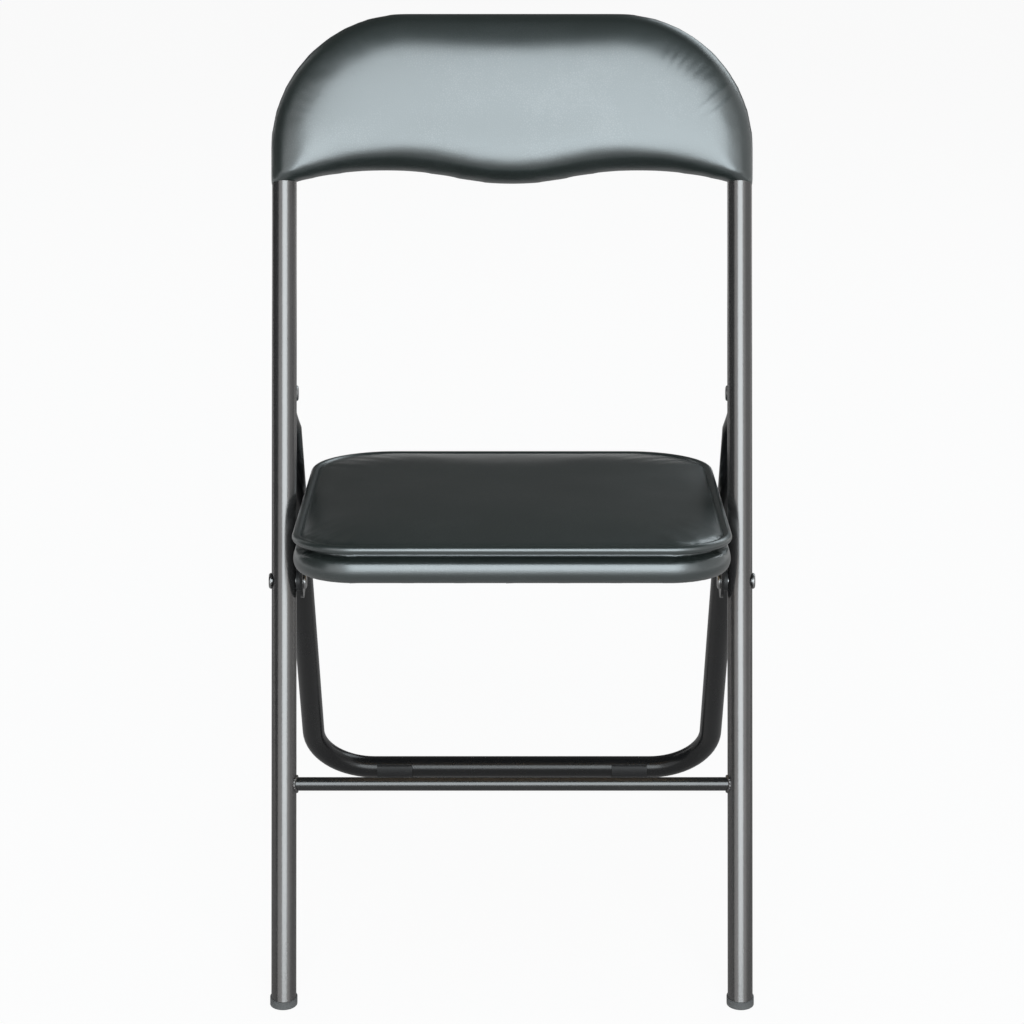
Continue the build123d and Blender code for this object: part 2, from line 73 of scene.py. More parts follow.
class Slot(Enum):
    """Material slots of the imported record."""

    SILVER = "silver_paint"
    BLACK = "black_paint"
    VINYL = "vinyl"
    RUBBER = "rubber"
    PLYWOOD = "plywood"
    NYLON = "nylon"
    ZINC = "zinc"


class Signal:
    """A shader value: a socket whose arithmetic adds Math nodes."""

    def __init__(self, graph: "Graph", socket: Socket) -> None:
        """Wrap an output socket of a graph."""
        self.graph = graph
        self.socket = socket

    def __add__(self, other: "Signal | float") -> "Signal":
        """Return self + other."""
        return self.graph.math("ADD", self, other)

    def __radd__(self, other: float) -> "Signal":
        """Return other + self."""
        return self.graph.math("ADD", other, self)

    def __sub__(self, other: "Signal | float") -> "Signal":
        """Return self - other."""
        return self.graph.math("SUBTRACT", self, other)

    def __rsub__(self, other: float) -> "Signal":
        """Return other - self."""
        return self.graph.math("SUBTRACT", other, self)

    def __mul__(self, other: "Signal | float") -> "Signal":
        """Return self * other."""
        return self.graph.math("MULTIPLY", self, other)

    def __rmul__(self, other: float) -> "Signal":
        """Return other * self."""
        return self.graph.math("MULTIPLY", other, self)

    def __or__(self, other: "Signal") -> "Signal":
        """Return the larger of two masks."""
        return self.graph.math("MAXIMUM", self, other)


class Graph:
    """The node tree of a material or of the world."""

    def __init__(self, tree: bpy.types.NodeTree) -> None:
        """Empty a node tree and hold it."""
        tree.nodes.clear()
        self.tree = tree

    def node(
        self,
        kind: str,
        settings: dict[str, Any] | None = None,
        inputs: dict[str | int, Any] | None = None,
    ) -> bpy.types.Node:
        """Add a node.

        Args:
            kind: The node's type.
            settings: Properties to set before its sockets are fed.
            inputs: Values or links of its sockets, by name or number.

        Returns:
            The new node.
        """
        made = self.tree.nodes.new(kind)
        for name, value in (settings or {}).items():
            setattr(made, name, value)
        for name, value in (inputs or {}).items():
            self.feed(made.inputs[name], value)
        return made

    def feed(self, socket: Socket, value: Any) -> None:
        """Feed an input socket.

        Args:
            socket: The input socket.
            value: A signal or an output socket to link it to, or a plain value.
        """
        if isinstance(value, Signal):
            value = value.socket
        if isinstance(value, Socket):
            self.tree.links.new(value, socket)
        else:
            socket.default_value = value

    def math(self, operation: str, first: Signal | float, second: Signal | float) -> Signal:
        """Add a Math node and return its result."""
        made = self.node("ShaderNodeMath", {"operation": operation}, {0: first, 1: second})
        return Signal(self, made.outputs[0])

    def place(self, stretch: Sequence[float] = (1, 1, 1)) -> Socket:
        """Return Object coordinates, stretched by a Mapping node."""
        at = self.node("ShaderNodeTexCoord").outputs["Object"]
        return self.node("ShaderNodeMapping", inputs={"Vector": at, "Scale": stretch}).outputs[0]

    def height(self) -> Signal:
        """Return the height above the floor, in metres."""
        at = self.node("ShaderNodeTexCoord").outputs["Object"]
        return Signal(self, self.node("ShaderNodeSeparateXYZ", inputs={0: at}).outputs["Z"])

    def noise(self, at: Any, grain: float, detail: float = 3.0, rough: float = 0.55) -> Signal:
        """Make soft noise.

        Args:
            at: The coordinates.
            grain: The size of a blotch, in metres.
            detail: The number of finer layers.
            rough: The strength of the finer layers.

        Returns:
            The noise, from 0 to 1.
        """
        sockets = {"Vector": at, "Scale": 1 / grain, "Detail": detail, "Roughness": rough}
        return Signal(self, self.node("ShaderNodeTexNoise", inputs=sockets).outputs[0])

    def cell_edges(self, at: Any, grain: float) -> Signal:
        """Make a pattern of cells.

        Args:
            at: The coordinates.
            grain: The size of a cell, in metres.

        Returns:
            The distance to the nearest edge of a cell, in cells.
        """
        sockets = {"Vector": at, "Scale": 1 / grain}
        made = self.node("ShaderNodeTexVoronoi", {"feature": "DISTANCE_TO_EDGE"}, sockets)
        return Signal(self, made.outputs["Distance"])

    def ramp(self, value: Signal, low: float, high: float, to: tuple[float, float] = (0, 1)) -> Signal:
        """Ease a value into a new range.

        Args:
            value: The value.
            low: The value at the start of the range.
            high: The value at its end.
            to: The ends of the new range.

        Returns:
            The eased value, which stops at the ends.
        """
        sockets = {"Value": value, 1: low, 2: high, 3: to[0], 4: to[1]}
        made = self.node("ShaderNodeMapRange", {"interpolation_type": "SMOOTHSTEP"}, sockets)
        return Signal(self, made.outputs[0])

    def blend(self, share: Signal, start: Any, end: Any) -> Socket:
        """Mix two colours.

        Args:
            share: 0 for the start, 1 for the end.
            start: A colour or a colour's socket.
            end: A colour or a colour's socket.

        Returns:
            The mixed colour's socket.
        """
        start, end = (c + (1.0,) if isinstance(c, tuple) else c for c in (start, end))
        made = self.node("ShaderNodeMix", {"data_type": "RGBA"}, {0: share, 6: start, 7: end})
        return made.outputs[2]

    def bump(self, height: Signal, depth: float) -> Socket:
        """Return a normal bumped by a height from 0 to 1 that stands for depth metres."""
        return self.node("ShaderNodeBump", inputs={"Height": height, "Distance": depth}).outputs[0]


def new_material(name: str) -> tuple[bpy.types.Material, Graph]:
    """Make a material.

    Args:
        name: The material's name.

    Returns:
        The material and its empty graph.
    """
    made = bpy.data.materials.new(name)
    made.use_nodes = True
    return made, Graph(made.node_tree)


@dataclass(frozen=True)
class Finish:
    """A surface finish, which makes its own material."""

    name: str = "finish"

    def material(self) -> bpy.types.Material:
        """Make the finish's material on first use.

        Returns:
            The material.
        """
        name = self.name + "_finish"
        made = bpy.data.materials.get(name)
        if made is None:
            made, graph = new_material(name)
            shader = graph.node("ShaderNodeBsdfPrincipled", inputs=self.sockets(graph))
            graph.node("ShaderNodeOutputMaterial", inputs={"Surface": shader.outputs[0]})
        return made

    def sockets(self, graph: Graph) -> dict[str, Any]:
        """Make the nodes of the finish.

        Args:
            graph: The material's graph.

        Returns:
            The values and links of the shader's sockets, by name.
        """
        raise NotImplementedError


@dataclass(frozen=True)
class SilverPaint(Finish):
    """Satin silver-grey powder coat, with fine flake and scuffs near the floor."""

    name: str = "silver_paint"
    colour: Colour = (0.187, 0.182, 0.18)
    scuffed: Colour = (0.125, 0.125, 0.127)
    metallic: float = 0.85
    rough: float = 0.21
    flake: float = 0.5 * MM
    peel: float = 2.2 * MM
    scuff_top: float = 160 * MM

    def sockets(self, graph: Graph) -> dict[str, Any]:
        """Return what feeds the shader."""
        at = graph.place()
        flake = graph.noise(at, self.flake, 1.0)
        peel = graph.noise(at, self.peel, 2.0)
        long_marks = graph.noise(graph.place((1, 1, 0.16)), 5 * MM, 5.0, 0.7)
        low = graph.ramp(graph.height(), 0.0, self.scuff_top, (1, 0))
        scuff = graph.ramp(long_marks + 0.05 * low, 0.64, 0.78) * (0.2 + 0.5 * low)
        cloud = graph.noise(at, 60 * MM, 3.0)
        shade = graph.ramp(0.5 * flake + 0.5 * cloud, 0.3, 0.7)
        dim = tuple(0.9 * c for c in self.colour)
        paint = graph.blend(shade, dim, self.colour)
        return {
            "Base Color": graph.blend(scuff, paint, self.scuffed),
            "Metallic": self.metallic,
            "Roughness": self.rough + 0.06 * cloud + 0.12 * scuff,
            "Coat Weight": 0.15,
            "Coat Roughness": 0.2,
            "Normal": graph.bump(peel + 0.25 * flake, 0.03 * MM),
        }


@dataclass(frozen=True)
class BlackEnamel(Finish):
    """Gloss black enamel, with orange peel and fine rubbed marks."""

    name: str = "black_enamel"
    colour: Colour = (0.009, 0.0092, 0.0098)
    rubbed: Colour = (0.03, 0.03, 0.031)
    rough: float = 0.22
    peel: float = 3.0 * MM

    def sockets(self, graph: Graph) -> dict[str, Any]:
        """Return what feeds the shader."""
        at = graph.place()
        peel = graph.noise(at, self.peel, 2.0)
        marks = graph.noise(graph.place((1, 0.2, 0.2)), 3 * MM, 5.0, 0.7)
        rub = graph.ramp(marks, 0.66, 0.76)
        cloud = graph.noise(at, 45 * MM, 4.0)
        return {
            "Base Color": graph.blend(rub * cloud, self.colour, self.rubbed),
            "Roughness": self.rough + 0.12 * cloud + 0.25 * rub,
            "Specular IOR Level": 0.42,
            "Coat Weight": 0.25 + 0.1 * cloud,
            "Coat Roughness": 0.12,
            "Normal": graph.bump(peel, 0.06 * MM),
        }


@dataclass(frozen=True)
class Vinyl(Finish):
    """Black upholstery vinyl with an embossed leather grain and a soft gloss."""

    name: str = "vinyl"
    colour: Colour = (0.0175, 0.0228, 0.0205)
    rubbed: Colour = (0.025, 0.031, 0.0285)
    sheen: Colour = (0.82, 0.95, 1.0)
    grain: float = 1.9 * MM
    warp_grain: float = 1 / 420
    warp_reach: float = 1.1 * MM
    emboss: float = 0.05 * MM
    rough: float = 0.3

    def sockets(self, graph: Graph) -> dict[str, Any]:
        """Return what feeds the shader."""
        at = graph.place()
        drift = graph.node("ShaderNodeTexNoise", inputs={"Vector": at, "Scale": 1 / self.warp_grain})
        warp = graph.node(
            "ShaderNodeVectorMath",
            {"operation": "MULTIPLY_ADD"},
            {0: drift.outputs["Color"], 1: (self.warp_reach,) * 3, 2: at},
        ).outputs[0]
        valley = graph.ramp(graph.cell_edges(warp, self.grain), 0.02, 0.3)
        pores = graph.noise(at, 0.45 * MM, 2.0)
        height = 0.8 * valley + 0.2 * pores
        cloud = graph.noise(at, 70 * MM, 4.0)
        rub = graph.ramp(cloud + 0.15 * valley, 0.55, 0.8)
        return {
            "Base Color": graph.blend(rub * valley, self.colour, self.rubbed),
            "Roughness": self.rough + 0.06 * (1 - valley) + 0.06 * cloud,
            "Specular IOR Level": 1.0,
            "Specular Tint": (*self.sheen, 1.0),
            "Coat Weight": 0.88 + 0.12 * rub,
            "Coat Roughness": 0.3,
            "Coat IOR": 1.9,
            "Normal": graph.bump(height, self.emboss),
        }


@dataclass(frozen=True)
class Rubber(Finish):
    """Moulded foot rubber, dulled and dusty towards the floor."""

    name: str = "foot_rubber"
    colour: Colour = (0.085, 0.086, 0.088)
    dusty: Colour = (0.14, 0.14, 0.138)
    dust_top: float = 12 * MM
    rough: float = 0.5

    def sockets(self, graph: Graph) -> dict[str, Any]:
        """Return what feeds the shader."""
        at = graph.place()
        speck = graph.noise(at, 1.2 * MM, 4.0, 0.7)
        low = graph.ramp(graph.height(), 0.0, self.dust_top, (1, 0))
        dust = graph.ramp(speck + 0.25 * low, 0.5, 0.75)
        return {
            "Base Color": graph.blend(dust, self.colour, self.dusty),
            "Roughness": self.rough + 0.3 * dust,
            "Normal": graph.bump(speck, 0.05 * MM),
        }


@dataclass(frozen=True)
class Plywood(Finish):
    """Raw birch plywood: long grain on its faces, with pores and pale and dark streaks."""

    name: str = "plywood"
    pale: Colour = (0.56, 0.4, 0.24)
    dark: Colour = (0.36, 0.22, 0.115)
    streak: float = 9 * MM
    rough: float = 0.62

    def sockets(self, graph: Graph) -> dict[str, Any]:
        """Return what feeds the shader."""
        along = graph.place((0.07, 1, 1))
        streak = graph.noise(along, self.streak, 6.0, 0.65)
        pore = graph.ramp(graph.noise(graph.place((0.05, 1, 1)), 0.8 * MM, 2.0), 0.58, 0.7)
        knot = graph.noise(graph.place((0.3, 1, 1)), 60 * MM, 2.0)
        shade = graph.ramp(0.6 * streak + 0.4 * knot, 0.35, 0.65)
        wood = graph.blend(shade, self.dark, self.pale)
        return {
            "Base Color": graph.blend(pore, wood, self.dark),
            "Roughness": self.rough + 0.15 * streak,
            "Normal": graph.bump(streak - 0.6 * pore, 0.15 * MM),
        }


@dataclass(frozen=True)
class Nylon(Finish):
    """Moulded black nylon with a faint eggshell."""

    name: str = "nylon"
    colour: Colour = (0.03, 0.03, 0.031)
    worn: Colour = (0.06, 0.06, 0.06)
    rough: float = 0.42

    def sockets(self, graph: Graph) -> dict[str, Any]:
        """Return what feeds the shader."""
        shell = graph.noise(graph.place(), 0.7 * MM, 2.0)
        wear = graph.ramp(graph.noise(graph.place(), 5 * MM, 3.0), 0.55, 0.75)
        return {
            "Base Color": graph.blend(wear, self.colour, self.worn),
            "Roughness": self.rough + 0.15 * shell,
            "Normal": graph.bump(shell, 0.04 * MM),
        }


@dataclass(frozen=True)
class Zinc(Finish):
    """Bright zinc plate, clouded by handling and fine turning marks."""

    name: str = "zinc"
    bright: Colour = (0.48, 0.485, 0.49)
    dull: Colour = (0.3, 0.3, 0.292)
    rough: float = 0.27

    def sockets(self, graph: Graph) -> dict[str, Any]:
        """Return what feeds the shader."""
        cloud = graph.noise(graph.place(), 6 * MM, 5.0, 0.65)
        turning = graph.noise(graph.place((1, 0.15, 0.15)), 0.35 * MM, 2.0)
        tarnish = graph.ramp(cloud, 0.4, 0.7)
        return {
            "Base Color": graph.blend(tarnish, self.bright, self.dull),
            "Metallic": 1.0,
            "Roughness": self.rough + 0.2 * tarnish + 0.06 * turning,
            "Normal": graph.bump(turning, 0.02 * MM),
        }


SILVER = SilverPaint()
# The stretcher's copy of the silver paint, made darker grey: painted shade that keeps the low bar and its
# reflection of the floor dark.
SHADED_STRETCHER_PAINT = SilverPaint("stretcher_painted_shade", (0.1, 0.1, 0.1), (0.07, 0.07, 0.071))
ENAMEL = BlackEnamel()
VINYL = Vinyl()
FOOT_RUBBER = Rubber()
GLIDE_RUBBER = Rubber("glide_rubber", (0.016, 0.016, 0.017), (0.04, 0.04, 0.039))
PLY = Plywood()
BUSH_NYLON = Nylon()
PLATING = Zinc()

FINISH_OF_SLOT: dict[Slot, Finish] = {
    Slot.SILVER: SILVER,
    Slot.BLACK: ENAMEL,
    Slot.VINYL: VINYL,
    Slot.RUBBER: FOOT_RUBBER,
    Slot.PLYWOOD: PLY,
    Slot.NYLON: BUSH_NYLON,
    Slot.ZINC: PLATING,
}

FINISH_OF_NODE: dict[str, Finish] = {
    "front_stretcher": SHADED_STRETCHER_PAINT,
    "rear_glide_left": GLIDE_RUBBER,
    "rear_glide_right": GLIDE_RUBBER,
}


@dataclass(frozen=True)
class ChairPlanes:
    """Working planes of the chair: the front frame leans back, the seat slopes to the rear."""

    lean_deg: float = 20.0
    tilt_deg: float = 6.3

    def front(self) -> Matrix:
        """Find the front frame's plane.

        Returns:
            The plane: x across, y up the tubes from the floor, z forwards.
        """
        foot = next(m for m in frame["record"]["mounts"] if m["name"] == "front_foot_right_sole")
        turn = Matrix.Rotation(math.radians(90 - self.lean_deg), 4, "X")
        return Matrix.Translation((0, foot["pos_m"][1], 0)) @ turn

    def seat(self) -> Matrix:
        """Find the seat's plane.

        Returns:
            The plane: x across, y rearwards from its pivot, z up from its pivot.
        """
        pivot = next(j for j in frame["joints"] if j["name"] == "seat_fold")
        turn = Matrix.Rotation(math.radians(-self.tilt_deg), 4, "X")
        return Matrix.Translation(pivot["pos_m"]) @ turn


PLANES = ChairPlanes()

# The back's screws in the front frame's plane: distance from the middle and height, and the depth at
# which their heads sit.
BACK_SCREWS = ((201 * MM, 748 * MM), (201 * MM, 790 * MM))
BACK_SCREW_SEAT = -11.6 * MM


def link_object(name: str, data: bpy.types.ID) -> Piece:
    """Make an object and link it to the scene.

    Args:
        name: The object's name.
        data: Its mesh, lamp or camera.

    Returns:
        The object.
    """
    made = bpy.data.objects.new(name, data)
    bpy.context.scene.collection.objects.link(made)
    return made


def add_object(name: str, mesh: Mesh) -> Piece:
    """Make an object of a mesh, shaded smooth.

    Args:
        name: The object's name.
        mesh: The mesh, which is freed.

    Returns:
        The object, linked to the scene.
    """
    data = bpy.data.meshes.new(name)
    mesh.to_mesh(data)
    mesh.free()
    data.shade_smooth()
    return link_object(name, data)


def bake_modifiers(piece: Piece) -> None:
    """Replace a piece's mesh by what its modifiers make of it, and remove them.

    Args:
        piece: The piece.
    """
    bpy.context.view_layer.update()
    graph = bpy.context.evaluated_depsgraph_get()
    baked = bpy.data.meshes.new_from_object(piece.evaluated_get(graph))
    piece.modifiers.clear()
    old = piece.data
    piece.data = baked
    bpy.data.meshes.remove(old)
    baked.name = piece.name
    baked.shade_smooth()


def remesh(piece: Piece, voxel: float) -> None:
    """Give a piece an even mesh.

    Args:
        piece: A closed piece.
        voxel: The size of the new faces, in metres.
    """
    made = piece.modifiers.new("even", "REMESH")
    made.mode = "VOXEL"
    made.voxel_size = voxel
    bake_modifiers(piece)


def subdivide(piece: Piece) -> None:
    """Give a piece one level of smooth subdivision.

    Args:
        piece: The piece.
    """
    made = piece.modifiers.new("smooth", "SUBSURF")
    made.levels = 1
    made.render_levels = 1
    bake_modifiers(piece)


def relax(piece: Piece, rounds: int) -> None:
    """Smooth a piece's vertices.

    Args:
        piece: The piece.
        rounds: How often each vertex moves halfway to the middle of its neighbours.
    """
    mesh = bmesh.new()
    mesh.from_mesh(piece.data)
    for _ in range(rounds):
        bmesh.ops.smooth_vert(
            mesh, verts=mesh.verts, factor=0.5, use_axis_x=True, use_axis_y=True, use_axis_z=True
        )
    mesh.to_mesh(piece.data)
    mesh.free()


def move_vertices(piece: Piece, shift: Callable[[Vector], Vector]) -> None:
    """Move a piece's vertices.

    Args:
        piece: The piece.
        shift: The move of a vertex, worked out from its place.
    """
    for vertex in piece.data.vertices:
        vertex.co += shift(vertex.co)
    piece.data.update()


def ease(value: float, low: float, high: float) -> float:
    """Return 0 at low, 1 at high and a smooth rise between them."""
    share = max(0.0, min(1.0, (value - low) / (high - low)))
    return share * share * (3 - 2 * share)


def round_over(share: float) -> float:
    """Return the rise of a quarter round: 0 at its foot, 1 from its crown on."""
    left = 1 - max(0.0, min(1.0, share))
    return math.sqrt(1 - left * left)


def edges_at(mesh: Mesh, height: float) -> list[Edge]:
    """Return the edges that lie at a height."""
    return [edge for edge in mesh.edges if all(abs(v.co.z - height) < MM for v in edge.verts)]


def new_edges(geometry: Iterable[Any]) -> list[Edge]:
    """Return the edges among what an operator made."""
    return [made for made in geometry if isinstance(made, bmesh.types.BMEdge)]


def new_verts(geometry: Iterable[Any]) -> list[Vert]:
    """Return the vertices among what an operator made."""
    return [made for made in geometry if isinstance(made, bmesh.types.BMVert)]


def bevel(mesh: Mesh, edges: Iterable[Edge], width: float, steps: int) -> None:
    """Round edges of a mesh.

    Args:
        mesh: The mesh.
        edges: The edges to round.
        width: How far the round reaches from an edge.
        steps: The number of faces across the round.
    """
    bmesh.ops.bevel(
        mesh,
        geom=list(edges),
        offset=width,
        offset_type="OFFSET",
        affect="EDGES",
        segments=steps,
        profile=0.5,
        material=-1,
    )


def add_bar(mesh: Mesh, size: Sequence[float], place: Matrix) -> None:
    """Add a square-edged bar to a mesh.

    Args:
        mesh: The mesh.
        size: The bar's length, width and thickness.
        place: The place and the turn of its middle.
    """
    made = bmesh.ops.create_cube(mesh, size=1.0)["verts"]
    bmesh.ops.scale(mesh, vec=size, verts=made)
    bmesh.ops.transform(mesh, matrix=place, verts=made)


def add_ring(mesh: Mesh, radius: float, sides: int, place: Matrix) -> tuple[list[Vert], list[Edge]]:
    """Add an open ring to a mesh.

    Args:
        mesh: The mesh.
        radius: The ring's radius.
        sides: The number of its edges.
        place: The plane that it lies in.

    Returns:
        Its vertices and its edges.
    """
    verts = bmesh.ops.create_circle(mesh, segments=sides, radius=radius, matrix=place)["verts"]
    return verts, list(dict.fromkeys(edge for vertex in verts for edge in vertex.link_edges))


def spin_round(mesh: Mesh, geometry: list[Any], axis: Sequence[float], steps: int) -> None:
    """Spin geometry once round the origin and close its seam.

    Args:
        mesh: The mesh.
        geometry: The vertices and edges to spin.
        axis: The axis to spin about.
        steps: The number of faces round the spin.
    """
    bmesh.ops.spin(
        mesh,
        geom=geometry,
        cent=(0, 0, 0),
        axis=axis,
        angle=2 * math.pi,
        steps=steps,
        use_merge=True,
    )
    bmesh.ops.remove_doubles(mesh, verts=mesh.verts, dist=0.02 * MM)


@dataclass(frozen=True)
class Inflation:
    """Cloth simulation that swells a closed cover against its seams."""

    pressure: float = 4.0
    frames: int = 20
    quality: int = 6
    mass: float = 0.3
    tension: float = 12.0
    bending: float = 0.6

    def run(
        self,
        piece: Piece,
        held: Callable[[Vector], bool],
        cap: Callable[[Vector], float],
    ) -> None:
        """Swell a piece and keep the result in its mesh.

        Args:
            piece: A closed mesh.
            held: Whether a point is sewn or rests on something, and stays.
            cap: How far a point may move, in metres.
        """
        start = [vertex.co.copy() for vertex in piece.data.vertices]
        ends = self.simulate(piece, [i for i, place in enumerate(start) if held(place)])
        far = max((end - place).length for place, end in zip(start, ends))
        LOG.info("%s swells by up to %.1f mm before its limit", piece.name, far / MM)
        for vertex, place, end in zip(piece.data.vertices, start, ends):
            move = end - place
            limit = cap(place)
            if move.length > 0 and limit > 0:
                vertex.co = place + move.normalized() * limit * math.tanh(move.length / limit)
        piece.data.update()

    def simulate(self, piece: Piece, sewn: list[int]) -> list[Vector]:
        """Run the simulation, and leave the piece as it was.

        Args:
            piece: A closed mesh.
            sewn: The numbers of the vertices that stay.

        Returns:
            The place of each vertex after the last frame.
        """
        group = piece.vertex_groups.new(name="sewn")
        group.add(sewn, 1.0, "REPLACE")
        cloth = piece.modifiers.new("swell", "CLOTH")
        cloth.settings.quality = self.quality
        cloth.settings.mass = self.mass
        cloth.settings.tension_stiffness = self.tension
        cloth.settings.compression_stiffness = self.tension
        cloth.settings.bending_stiffness = self.bending
        cloth.settings.use_pressure = True
        cloth.settings.uniform_pressure_force = self.pressure
        cloth.settings.vertex_group_mass = group.name
        cloth.settings.effector_weights.gravity = 0.0
        cloth.collision_settings.use_collision = False
        scene = bpy.context.scene
        for number in range(1, self.frames + 1):
            scene.frame_set(number)
        swollen = piece.evaluated_get(bpy.context.evaluated_depsgraph_get()).data
        ends = [vertex.co.copy() for vertex in swollen.vertices]
        piece.modifiers.clear()
        piece.vertex_groups.clear()
        scene.frame_set(1)
        return ends


def finish_piece(
    piece: Piece,
    place: Matrix,
    body: Body,
    slot: Slot,
    replaces: Iterable[str] = (),
) -> Piece:
    """Put a piece in its place, dress it, and let it ride on its body.

    Args:
        piece: The piece, modelled in a working plane.
        place: The working plane's matrix, which is applied to the mesh.
        body: The body that it moves with.
        slot: The record's material slot.
        replaces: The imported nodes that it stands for.

    Returns:
        The piece.
    """
    piece.data.transform(place)
    piece.data.materials.clear()
    piece.data.materials.append(FINISH_OF_SLOT[slot].material())
    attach(piece, body.value)
    for node in replaces:
        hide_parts(node)
    LOG.info("%s rides on %s, %d faces", piece.name, body.value, len(piece.data.polygons))
    return piece


class EdgeMeasure(NamedTuple):
    """Where a point lies against the seat's outline."""

    depth: float
    run: float
    corner: float
    outwards: Vector


@dataclass(frozen=True)
class SeatPlan:
    """The seat's outline from above: straight sides, with smaller corners at the front."""

    half_width: float = 184 * MM
    front: float = -180 * MM
    rear: float = 200 * MM
    front_radius: float = 55 * MM
    rear_radius: float = 75 * MM
    corner_steps: int = 14

    def measure(self, place: Vector) -> EdgeMeasure:
        """Measure a point against the outline.

        Args:
            place: A point in the seat's plane.

        Returns:
            How far the point lies inside the outline, how far along the outline it is, its share of a
            corner (0 on a straight side, 1 halfway round a corner), and the way out.
        """
        across = abs(place.x)
        side = math.copysign(1.0, place.x)
        for radius, edge, sign in ((self.front_radius, self.front, -1), (self.rear_radius, self.rear, 1)):
            out = Vector((across - self.half_width + radius, sign * (place.y - edge) + radius))
            if out.x > 0 and out.y > 0:
                angle = math.atan2(out.y, out.x)
                way = Vector((side * out.x, sign * out.y, 0)).normalized()
                run = edge + sign * radius * angle
                return EdgeMeasure(radius - out.length, run, math.sin(2 * angle), way)
        sides = (
            EdgeMeasure(self.half_width - across, place.y, 0.0, Vector((side, 0, 0))),
            EdgeMeasure(place.y - self.front, across, 0.0, Vector((0, -1, 0))),
            EdgeMeasure(self.rear - place.y, across, 0.0, Vector((0, 1, 0))),
        )
        return min(sides, key=lambda edge: edge.depth)

    def block(self, margin: float, bottom: float, top: float) -> Mesh:
        """Make a block of the outline.

        Args:
            margin: How far the block is drawn in.
            bottom: The height of its underside.
            top: The height of its top.

        Returns:
            The block's mesh.
        """
        mesh = bmesh.new()
        depth = self.rear - self.front - 2 * margin
        middle = ((self.rear + self.front) / 2, (top + bottom) / 2)
        size = (2 * (self.half_width - margin), depth, top - bottom)
        add_bar(mesh, size, Matrix.Translation((0, *middle)))
        for radius, sign in ((self.front_radius, -1), (self.rear_radius, 1)):
            posts = [
                edge
                for edge in mesh.edges
                if abs(edge.verts[0].co.z - edge.verts[1].co.z) > (top - bottom) / 2
                and sign * (edge.verts[0].co.y - middle[0]) > depth / 2 - margin - MM
            ]
            bevel(mesh, posts, radius - margin, self.corner_steps)
        return mesh


